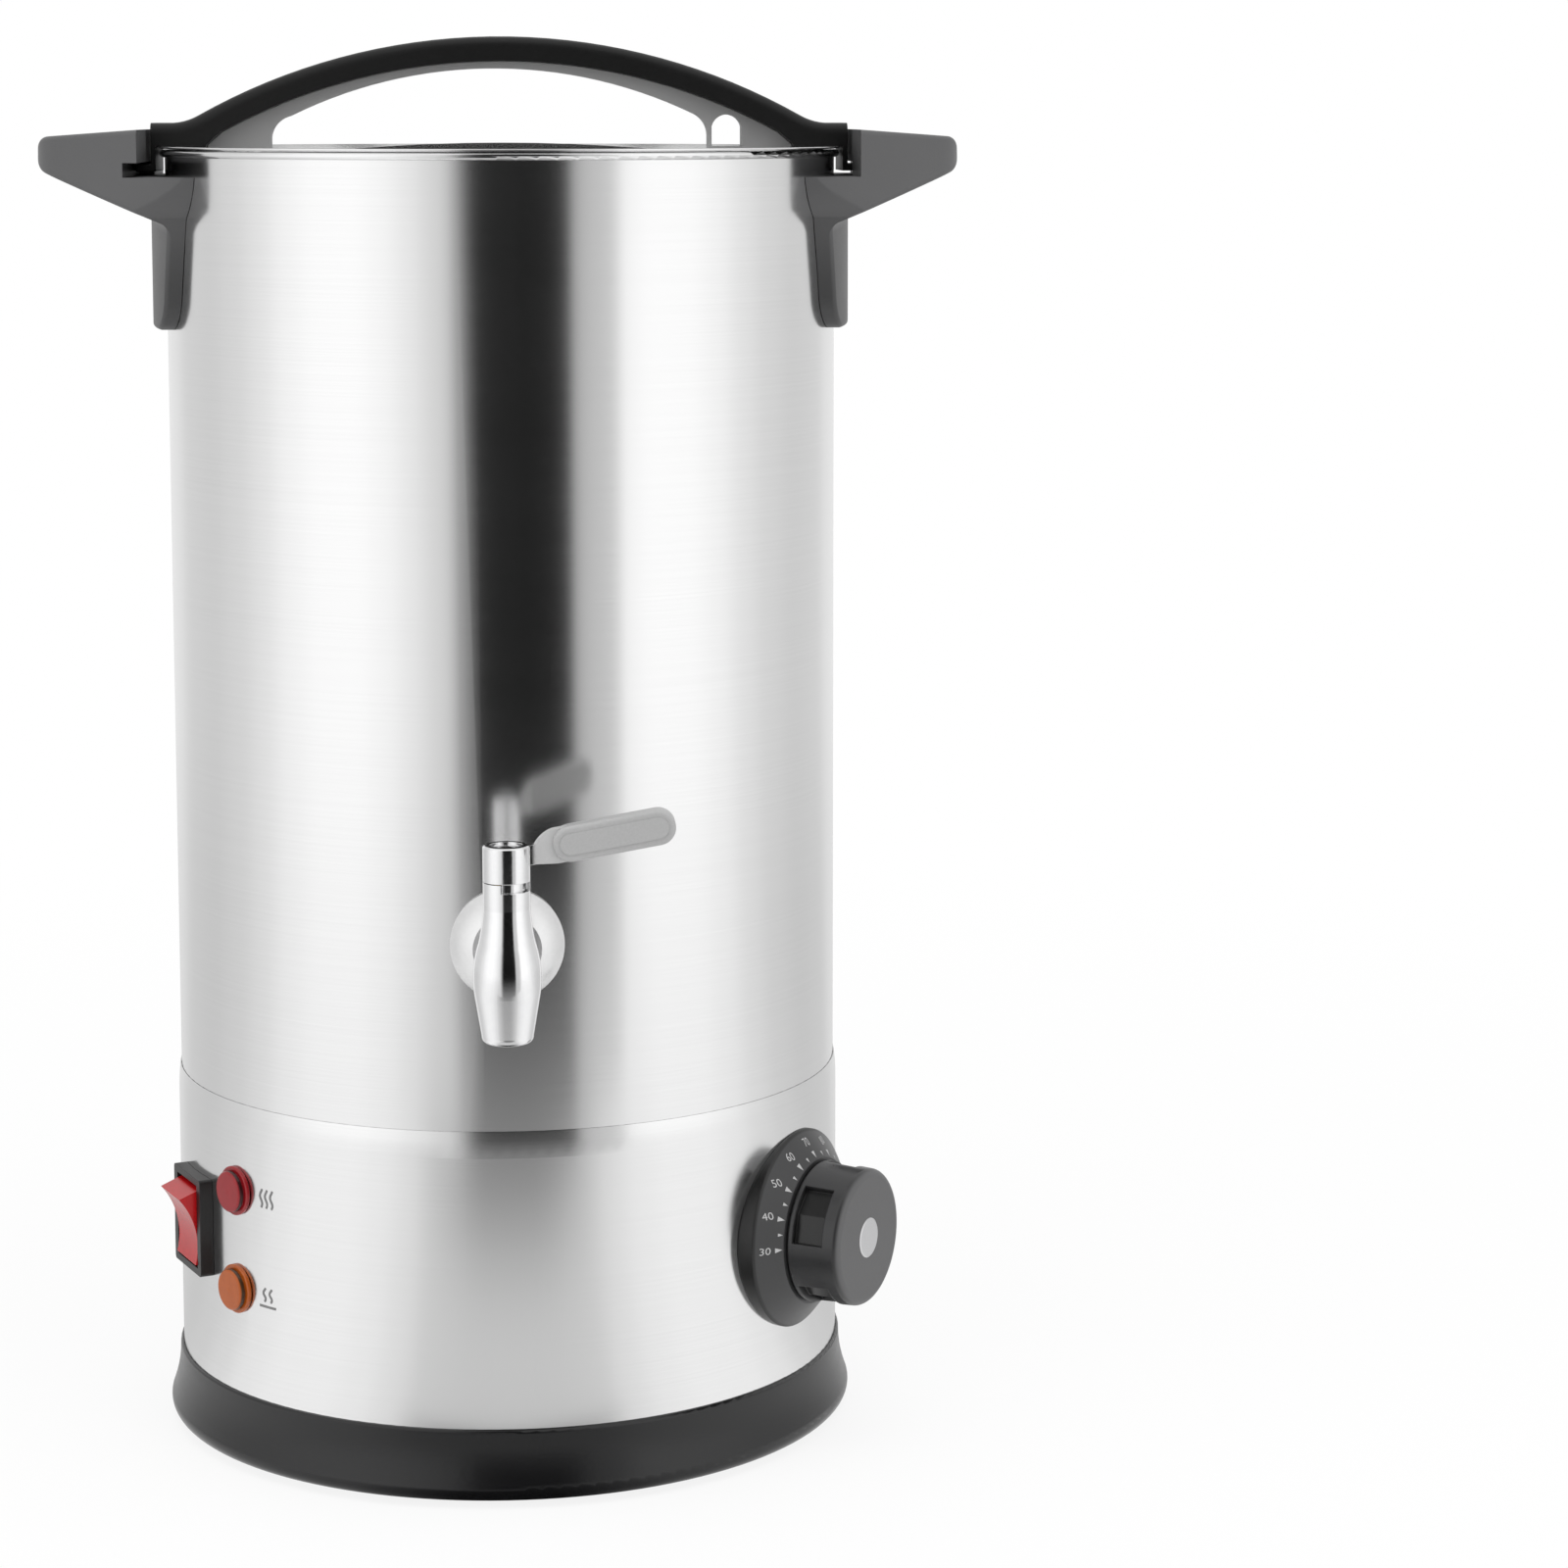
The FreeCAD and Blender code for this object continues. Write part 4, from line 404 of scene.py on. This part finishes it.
gum = Finish("black_rubber")
dust = gum.noise(700.0, 5.0)
black_rubber = gum.surface(base_color=gum.mix(dust, (0.018, 0.018, 0.018), (0.035, 0.034, 0.033)),
                           roughness=dust * 0.15 + 0.72, normal=gum.bump(dust, 0.0001, 0.4))
dress(black_rubber, "feet")

bright = Finish("screw_steel")
turned = bright.noise(1500.0, 2.0)
screw_steel = bright.surface(base_color=bright.mix(turned, (0.62, 0.62, 0.62), (0.78, 0.78, 0.77)),
                             metallic=1.0, roughness=turned * 0.15 + 0.22,
                             normal=bright.bump(turned, 0.00004, 0.3))
dress(screw_steel, "cover_screws")

# ---------------------------------------------------------------------------------------------
# Heater.  A cast spreader plate under the pot floor; a clamp on two studs presses the oxidised
# tubular element to it, beside a ceramic thermal cut-out and the thermostat's copper bulb.

cast = Finish("cast_aluminium")
pits = cast.noise(420.0, 5.0)
cast_aluminium = cast.surface(
    base_color=cast.mix(pits, (0.56, 0.56, 0.57), (0.74, 0.74, 0.74)), metallic=1.0,
    roughness=pits * 0.2 + 0.4, normal=cast.bump(pits, 0.0002, 0.5))
dress(cast_aluminium, "heat_spreader")

tube = Finish("element_steel")
scale = tube.noise(260.0, 5.0)
element_steel = tube.surface(base_color=tube.mix(scale, (0.17, 0.16, 0.15), (0.34, 0.32, 0.29)),
                             metallic=1.0, roughness=scale * 0.2 + 0.42)
dress(element_steel, "heating_element")

clay = Finish("pale_ceramic")
speck = clay.noise(900.0, 4.0)
pale_ceramic = clay.surface(base_color=clay.mix(speck, (0.70, 0.68, 0.62), (0.82, 0.80, 0.75)),
                            roughness=speck * 0.1 + 0.5)
dress(pale_ceramic, "thermal_cutout")

drawn = Finish("drawn_copper")
tarnish = drawn.noise(1.0, 4.0, where=drawn.stretched(30.0, 400.0, 400.0))
drawn_copper = drawn.surface(base_color=drawn.mix(tarnish, (0.60, 0.30, 0.19), (0.78, 0.45, 0.30)),
                             metallic=1.0, roughness=tarnish * 0.15 + 0.28)
dress(drawn_copper, "thermostat_bulb")

dress(zinc_plate, "element_clamp", "bulb_clip")
dress(screw_steel, "heater_studs", "heater_nuts")

# ---------------------------------------------------------------------------------------------
# Pot.  One stainless tube, brushed round its girth, with a rolled rim and a pressed floor; the
# drawn-in control skirt below it is brushed the same way.

hair = Finish("brushed_steel")
lines = hair.noise(1.0, 2.0, where=hair.stretched(9.0, 9.0, 2600.0))
wear = hair.noise(1.0, 3.0, where=hair.stretched(6.0, 6.0, 30.0))
brushed_steel = hair.surface(
    base_color=hair.mix(lines, (0.80, 0.80, 0.80), (0.85, 0.85, 0.85)), metallic=1.0,
    roughness=lines * 0.06 + wear * 0.05 + 0.11,
    normal=hair.bump(lines, 0.00001, 0.16))
dress(brushed_steel, "tank", "tank_floor", "control_skirt")

# ---------------------------------------------------------------------------------------------
# Side handles.  Heat-proof moulded grips whose leg follows the pot and is darkened by painted shade,
# screwed on from the inside; a channel and slot in the top of each takes the lid's hook.

LEG_SHADE_TOP = 0.394
LEG_SHADE_BLUR = 0.034
grip = Finish("handle_plastic")
tooth = grip.noise(1100.0, 4.0)
cloud = grip.noise(18.0)
rubbed = grip.noise(60.0, 5.0, 0.6)
# painted shade: the grip is painted darker from its wing down over its leg
leg_shade_mask = grip.ramp(grip.along(UPWARD), LEG_SHADE_TOP - LEG_SHADE_BLUR, LEG_SHADE_TOP)
handle_plastic = grip.surface(
    base_color=grip.mix(leg_shade_mask, grip.mix(cloud, (0.040, 0.040, 0.041), (0.056, 0.056, 0.057)),
                        grip.mix(cloud, (0.084, 0.084, 0.086), (0.106, 0.106, 0.108))),
    roughness=tooth * 0.08 + rubbed * 0.10 + 0.36, normal=grip.bump(tooth, 0.00006, 0.45))
dress(handle_plastic, "side_handle_right", "side_handle_left")
dress(screw_steel, "handle_screws")

# ---------------------------------------------------------------------------------------------
# Tap.  Chromed brass cock with a turning plug; domed flange outside, washers and a hexagon nut
# inside, and a grey sleeve on the lever.

LEVEL = (1.0, 1.0, 0.0)


def middle_of(node):
    """The middle of a carried-over node's box."""
    return [(low + high) / 2 for low, high in zip(*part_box(node))]


plate = Finish("tap_chrome")
polish = plate.noise(500.0, 3.0)
tap_chrome = plate.surface(base_color=plate.mix(polish, (0.82, 0.82, 0.83), (0.89, 0.89, 0.89)),
                           metallic=1.0, roughness=polish * 0.05 + 0.08,
                           normal=plate.bump(polish, 0.00002, 0.15, edge=0.0004))
dress(tap_chrome, "tap_body", "tap_nut", "tap_screw")

satin = Finish("satin_nickel")
polish = satin.noise(700.0, 3.0)
satin_nickel = satin.surface(base_color=satin.mix(polish, (0.76, 0.76, 0.76), (0.84, 0.84, 0.84)),
                             metallic=1.0, roughness=polish * 0.08 + 0.30,
                             normal=satin.bump(polish, 0.00003, 0.3, edge=0.0003))
dress(satin_nickel, "tap_flange")

# the lever is polished round the hub and left satin along its flat neck
HUB_RADIUS = -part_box("tap_lever")[0][0]
NECK_START = (HUB_RADIUS + 0.0004, HUB_RADIUS + 0.0020)
pressed = Finish("lever_nickel")
polish = pressed.noise(900.0, 3.0)
neck = pressed.ramp(pressed.away_from(middle_of("tap_plug"), across=LEVEL), *NECK_START)
lever_nickel = pressed.surface(
    base_color=pressed.mix(neck, pressed.mix(polish, (0.80, 0.80, 0.81), (0.87, 0.87, 0.87)),
                           pressed.mix(polish, (0.62, 0.62, 0.62), (0.70, 0.70, 0.70))),
    metallic=1 - neck * 0.62, roughness=polish * 0.06 + neck * 0.33 + 0.10,
    normal=pressed.bump(polish, 0.00003, 0.3, edge=0.0004))
dress(lever_nickel, "tap_lever")

yellow = Finish("plug_brass")
turned = yellow.noise(800.0, 3.0)
plug_brass = yellow.surface(base_color=yellow.mix(turned, (0.66, 0.47, 0.20), (0.80, 0.62, 0.32)),
                            metallic=1.0, roughness=turned * 0.15 + 0.22)
dress(plug_brass, "tap_plug")

seal = Finish("pale_silicone")
bloom = seal.noise(300.0, 4.0)
pale_silicone = seal.surface(base_color=seal.mix(bloom, (0.66, 0.66, 0.63), (0.78, 0.78, 0.75)),
                             roughness=bloom * 0.15 + 0.5)
dress(pale_silicone, "tap_outer_washer", "tap_inner_washer")

sleeve = Finish("sleeve_plastic")
tooth = sleeve.noise(1400.0, 4.0)
sleeve_plastic = sleeve.surface(
    base_color=sleeve.mix(tooth, (0.38, 0.38, 0.38), (0.46, 0.46, 0.46)),
    roughness=tooth * 0.1 + 0.36, normal=sleeve.bump(tooth, 0.00005, 0.4, edge=0.0008))
dress(sleeve_plastic, "tap_grip")

# ---------------------------------------------------------------------------------------------
# Rocker switch.  A black moulded housing that snaps into the skirt, with brass terminals behind
# it and a glossy red rocker in its bezel.

gloss = Finish("switch_black")
tooth = gloss.noise(1200.0, 4.0)
switch_black = gloss.surface(base_color=gloss.mix(tooth, (0.008, 0.007, 0.007), (0.016, 0.015, 0.015)),
                             roughness=tooth * 0.1 + 0.34,
                             normal=gloss.bump(tooth, 0.00004, 0.4, edge=0.0004))
dress(switch_black, "switch_housing")

cherry = Finish("rocker_red")
cloud = cherry.noise(240.0, 3.0)
rocker_red = cherry.surface(base_color=cherry.mix(cloud, (0.42, 0.002, 0.004), (0.54, 0.006, 0.009)),
                            roughness=cloud * 0.08 + 0.16, specular_ior_level=0.45,
                            normal=cherry.soft_edges(0.0003))
dress(rocker_red, "rocker")

dress(plug_brass, "switch_terminals")

# ---------------------------------------------------------------------------------------------
# Lamps.  Two clear-moulded lenses, red over orange, whose side wall is darkened by painted shade;
# a push nut holds each barrel.  Beside each a small sign is printed on the skirt: heat rising,
# and heat kept over a plate.

SKIRT_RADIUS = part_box("control_skirt")[1][0]
LAMP_AZIMUTH = math.radians(-52.5)
LAMP_OUTWARD = (math.sin(LAMP_AZIMUTH), -math.cos(LAMP_AZIMUTH), 0.0)
LENS_SHADED_WALL = (SKIRT_RADIUS + 0.0013, SKIRT_RADIUS + 0.0016)
LENS_FACE = (SKIRT_RADIUS + 0.0026, SKIRT_RADIUS + 0.0031)
LENS_TONES_AND_WALL_SHADE = {
    "heat_lamp_lens": ((0.24, 0.004, 0.008), (0.32, 0.010, 0.015), (0.035, 0.003, 0.004)),
    "warm_lamp_lens": ((0.36, 0.070, 0.004), (0.46, 0.100, 0.010), (0.055, 0.024, 0.008))}
# painted shade: a dark band on each lens's side wall, between its face and the skirt
for name, (low, high, wall_shade) in LENS_TONES_AND_WALL_SHADE.items():
    glass = Finish(name)
    cloud = glass.noise(300.0, 3.0)
    stand = glass.along(LAMP_OUTWARD)
    shaded_wall_band = glass.ramp(stand, *LENS_SHADED_WALL)
    face_band = glass.ramp(stand, *LENS_FACE)
    lens = glass.surface(
        base_color=glass.mix(shaded_wall_band * (1 - face_band), glass.mix(cloud, low, high), wall_shade),
        roughness=cloud * 0.08 + 0.20, normal=glass.soft_edges(0.0003))
    dress(lens, name)
dress(switch_black, "lamp_barrels")
dress(screw_steel, "lamp_push_nuts")

SIGN_AZIMUTH = math.radians(-44.5)
SIGN_TOP = 0.0029
STROKE = 0.00075
INK_LIFT = 0.00006
WAVE_SWING = 0.0005
WAVE_TURNS = 1.2
WAVE_STEPS = 24
HEAT_WAVES = (-0.0023, 0.0, 0.0023)
WARM_WAVES = (-0.0014, 0.0014)
WARM_WAVE_FOOT = -0.0014
PLATE_STEP = 0.0006
PLATE_STEPS = 6


def ribbons(lines, width):
    """Strokes of even width along flat lines."""
    shape = bmesh.new()
    for line in lines:
        pairs = []
        for place, point in enumerate(line):
            run = Vector(line[min(place + 1, len(line) - 1)]) - Vector(line[max(place - 1, 0)])
            side = Vector((-run.y, run.x)).normalized() * width / 2
            pairs.append([shape.verts.new((*(Vector(point) + side * way), 0)) for way in (-1, 1)])
        for (low, high), (next_low, next_high) in zip(pairs, pairs[1:]):
            shape.faces.new((low, next_low, next_high, high))
    return shape


def printed(name, shape, carrier, finish):
    """Lays a flat shape on a curved surface as ink; carrier turns x, y into a place on it."""
    for point in shape.verts:
        point.co = carrier(point.co.x, point.co.y)
    print_piece = new_piece(name, shape, finish)
    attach(print_piece, "melter")


def on_skirt(height):
    """Makes the carrier for a sign whose middle is on the skirt at a height."""
    def carrier(x, y):
        turn = SIGN_AZIMUTH + x / SKIRT_RADIUS
        reach = SKIRT_RADIUS + INK_LIFT
        return Vector((reach * math.sin(turn), -reach * math.cos(turn), height + y))
    return carrier


def heat_wave(x, foot):
    """A wavy upright line from its foot to the sign's top."""
    return [(x + WAVE_SWING * math.sin(2 * WAVE_TURNS * math.pi * step / WAVE_STEPS),
             foot + (SIGN_TOP - foot) * step / WAVE_STEPS)
            for step in range(WAVE_STEPS + 1)]


ink = Finish("grey_ink")
thin = ink.noise(2200.0, 3.0)
grey_ink = ink.surface(base_color=ink.mix(thin, (0.15, 0.15, 0.15), (0.25, 0.25, 0.25)),
                       roughness=thin * 0.15 + 0.5)
rising = [heat_wave(x, -SIGN_TOP) for x in HEAT_WAVES]
printed("heat_sign", ribbons(rising, STROKE),
        on_skirt(middle_of("heat_lamp_lens")[2]), grey_ink)
kept = [heat_wave(x, WARM_WAVE_FOOT) for x in WARM_WAVES]
plate_line = [(step * PLATE_STEP, -SIGN_TOP) for step in range(-PLATE_STEPS, PLATE_STEPS + 1)]
printed("warm_sign", ribbons(kept + [plate_line], STROKE),
        on_skirt(middle_of("warm_lamp_lens")[2]), grey_ink)

# ---------------------------------------------------------------------------------------------
# Thermostat.  A zinc-plated body behind the skirt, a coned plastic plate screwed over its spindle
# and printed with wedge marks and plain figures, and a knob with finger recesses and a spun
# aluminium disc.

DIAL_AZIMUTH = math.radians(58)
DIAL_HEIGHT = middle_of("dial_plate")[2]
DIAL_OUTWARD = Vector((math.sin(DIAL_AZIMUTH), -math.cos(DIAL_AZIMUTH), 0))
DIAL_ACROSS = Vector((math.cos(DIAL_AZIMUTH), math.sin(DIAL_AZIMUTH), 0))
CONE_FOOT_RADIUS = 0.0306
CONE_FOOT_STAND = 0.0009
CONE_TOP_RADIUS = 0.0228
CONE_TOP_STAND = 0.0072
SHADED_SIDE_WALL = (CONE_FOOT_RADIUS - 0.0006, CONE_FOOT_RADIUS - 0.0001)
KNOB_FACE = SKIRT_RADIUS + 0.025
FACE_EDGE = (KNOB_FACE - 0.0016, KNOB_FACE - 0.0003)
RECESS_FLOOR = 0.0204
RECESS_EDGE = (RECESS_FLOOR, RECESS_FLOOR + 0.0010)


def off_spindle(finish):
    """Distance from the line of the knob's spindle."""
    inward = finish.along(tuple(DIAL_OUTWARD))
    gap = finish.away_from((0.0, 0.0, DIAL_HEIGHT))
    square = gap * gap - inward * inward
    return square.maths("SQRT", square)


dial = Finish("dial_plastic")
tooth = dial.noise(1000.0, 4.0)
rubbed = dial.noise(70.0, 4.0)
# painted shade: the plate's outer side wall is painted near-black, darker than its cone
shaded_side_wall = dial.ramp(off_spindle(dial), *SHADED_SIDE_WALL)
cone_tone = dial.mix(rubbed, (0.030, 0.030, 0.031), (0.046, 0.046, 0.047))
dial_plastic = dial.surface(base_color=dial.mix(shaded_side_wall, cone_tone, (0.008, 0.008, 0.008)),
                            roughness=tooth * 0.08 + rubbed * 0.10 + 0.24,
                            normal=dial.bump(tooth, 0.00004, 0.35, edge=0.0005))
dress(dial_plastic, "dial_plate")

cap = Finish("knob_plastic")
tooth = cap.noise(1000.0, 4.0)
rubbed = cap.noise(70.0, 4.0)
# painted light and shade: the front face is painted lighter than the sides, the recess floors
# near-black
lit_front_face = cap.ramp(cap.along(tuple(DIAL_OUTWARD)), *FACE_EDGE)
shaded_recess_floors = cap.ramp(off_spindle(cap), *RECESS_EDGE, 1.0, 0.0)
side_tone_and_recess_shade = cap.mix(rubbed, (0.022, 0.022, 0.023), (0.036, 0.036, 0.037))
side_tone_and_recess_shade = cap.mix(shaded_recess_floors, side_tone_and_recess_shade, (0.009, 0.009, 0.009))
knob_plastic = cap.surface(base_color=cap.mix(lit_front_face, side_tone_and_recess_shade, (0.100, 0.100, 0.102)),
                           roughness=tooth * 0.08 + rubbed * 0.08 + lit_front_face * 0.10 + 0.22,
                           normal=cap.bump(tooth, 0.00004, 0.35, edge=0.0005))
dress(knob_plastic, "knob")

dress(zinc_plate, "thermostat_body")
dress(screw_steel, "thermostat_screws", "thermostat_shaft")

FIRST_MARK = 91.0
MARK_STEP = 22.5
MARKS = 9
FIRST_FIGURE = 30
FIGURE_STEP = 10
FIGURE_RADIUS = 0.0277
FIGURE_SIZE = 0.0032
WEDGE_POINT = 0.0232
MAIN_WEDGE = {"half_width": 0.0008, "foot": 0.0251}
HALF_WEDGE = {"half_width": 0.0005, "foot": 0.0245}
DIAL_INK_LIFT = 0.00008


def on_dial(x, y):
    """The place on the dial's cone over a flat one."""
    slope = (CONE_TOP_STAND - CONE_FOOT_STAND) / (CONE_FOOT_RADIUS - CONE_TOP_RADIUS)
    stand = CONE_FOOT_STAND + (CONE_FOOT_RADIUS - math.hypot(x, y)) * slope + DIAL_INK_LIFT
    place = DIAL_OUTWARD * (SKIRT_RADIUS + stand) + DIAL_ACROSS * x
    place.z = DIAL_HEIGHT + y
    return place


def dial_place(degrees, radius):
    """A place in the dial's plane; degrees run from the top towards the tap."""
    turn = math.radians(degrees)
    return (-radius * math.sin(turn), radius * math.cos(turn))


def add_wedge(shape, degrees, half_width, foot):
    """A mark whose point is at the knob and whose foot is towards the figures."""
    half_turn = math.degrees(half_width / foot)
    corners = [dial_place(degrees - half_turn, foot), dial_place(degrees + half_turn, foot),
               dial_place(degrees, WEDGE_POINT)]
    shape.faces.new([shape.verts.new((x, y, 0)) for x, y in corners])


def add_figure(shape, words, degrees):
    """A plain upright number beyond a mark."""
    letters = bpy.data.curves.new("figure", "FONT")
    letters.body = words
    letters.size = FIGURE_SIZE
    letters.align_x = "CENTER"
    letters.align_y = "CENTER"
    letters.resolution_u = 3
    carrier = bpy.data.objects.new("figure", letters)
    flat = bpy.data.meshes.new_from_object(carrier)
    flat.transform(Matrix.Translation((*dial_place(degrees, FIGURE_RADIUS), 0)))
    shape.from_mesh(flat)
    bpy.data.objects.remove(carrier)
    bpy.data.curves.remove(letters)
    bpy.data.meshes.remove(flat)


ink = Finish("pale_ink")
thin = ink.noise(2200.0, 3.0)
pale_ink = ink.surface(base_color=ink.mix(thin, (0.42, 0.42, 0.42), (0.60, 0.60, 0.60)),
                       roughness=thin * 0.15 + 0.45)
marks = bmesh.new()
figures = bmesh.new()
for place in range(MARKS):
    turn = FIRST_MARK - MARK_STEP * place
    add_wedge(marks, turn, **MAIN_WEDGE)
    if place:
        add_wedge(marks, turn + MARK_STEP / 2, **HALF_WEDGE)
    add_figure(figures, str(FIRST_FIGURE + FIGURE_STEP * place), turn)
printed("dial_marks", marks, on_dial, pale_ink)
printed("dial_figures", figures, on_dial, pale_ink)

spun = Finish("spun_aluminium")
rings = spun.rings(spun.away_from(middle_of("knob_disc")), 5000.0)
spun_aluminium = spun.surface(base_color=spun.mix(rings, (0.60, 0.60, 0.61), (0.78, 0.78, 0.79)),
                              metallic=1.0, roughness=rings * 0.12 + 0.28,
                              normal=spun.bump(rings, 0.00002, 0.4))
dress(spun_aluminium, "knob_disc")

# ---------------------------------------------------------------------------------------------
# Mains inlet.  A black moulded socket with three brass pins, set in the back of the skirt and
# held by two screws.

dress(switch_black, "inlet_housing")
dress(plug_brass, "inlet_pins")
dress(screw_steel, "inlet_screws")

# ---------------------------------------------------------------------------------------------
# Lid.  A pressed stainless disc with a shallow dome, polished in rings round its middle, and a
# pale silicone gasket stretched round its skirt.

domed = Finish("lid_steel")
rings = domed.rings(domed.away_from(POT_FOOT, across=LEVEL), 1800.0)
haze = domed.noise(20.0)
lid_steel = domed.surface(base_color=domed.mix(rings, (0.78, 0.78, 0.78), (0.85, 0.85, 0.85)),
                          metallic=1.0, roughness=rings * 0.06 + haze * 0.05 + 0.13,
                          normal=domed.bump(rings, 0.00001, 0.25))
dress(lid_steel, "lid_disc")

dress(pale_silicone, "lid_gasket")

# ---------------------------------------------------------------------------------------------
# Lid handle.  A near-black moulded arch with hooks at both ends and a grey inner frame, screwed
# to the lid; the frame is painted lighter than its own grey, as painted light under the arch.

arch = Finish("arch_plastic")
tooth = arch.noise(1100.0, 4.0)
rubbed = arch.noise(40.0, 5.0, 0.6)
arch_plastic = arch.surface(base_color=arch.mix(tooth, (0.005, 0.005, 0.005), (0.009, 0.009, 0.009)),
                            roughness=tooth * 0.08 + rubbed * 0.10 + 0.32, specular_ior_level=0.28,
                            normal=arch.bump(tooth, 0.00005, 0.4, edge=0.0007))
dress(arch_plastic, "lid_handle")

# painted light: the frame's grey is set lighter than its own tone, to lift the shade under the arch
web = Finish("web_plastic_lightened")
tooth = web.noise(1100.0, 4.0)
cloud = web.noise(22.0)
web_plastic_lightened = web.surface(base_color=web.mix(cloud, (0.42, 0.42, 0.42), (0.50, 0.50, 0.50)),
                          roughness=tooth * 0.1 + 0.4,
                          normal=web.bump(tooth, 0.00005, 0.4, edge=0.0005))
dress(web_plastic_lightened, "lid_handle_web")

dress(screw_steel, "lid_screws")
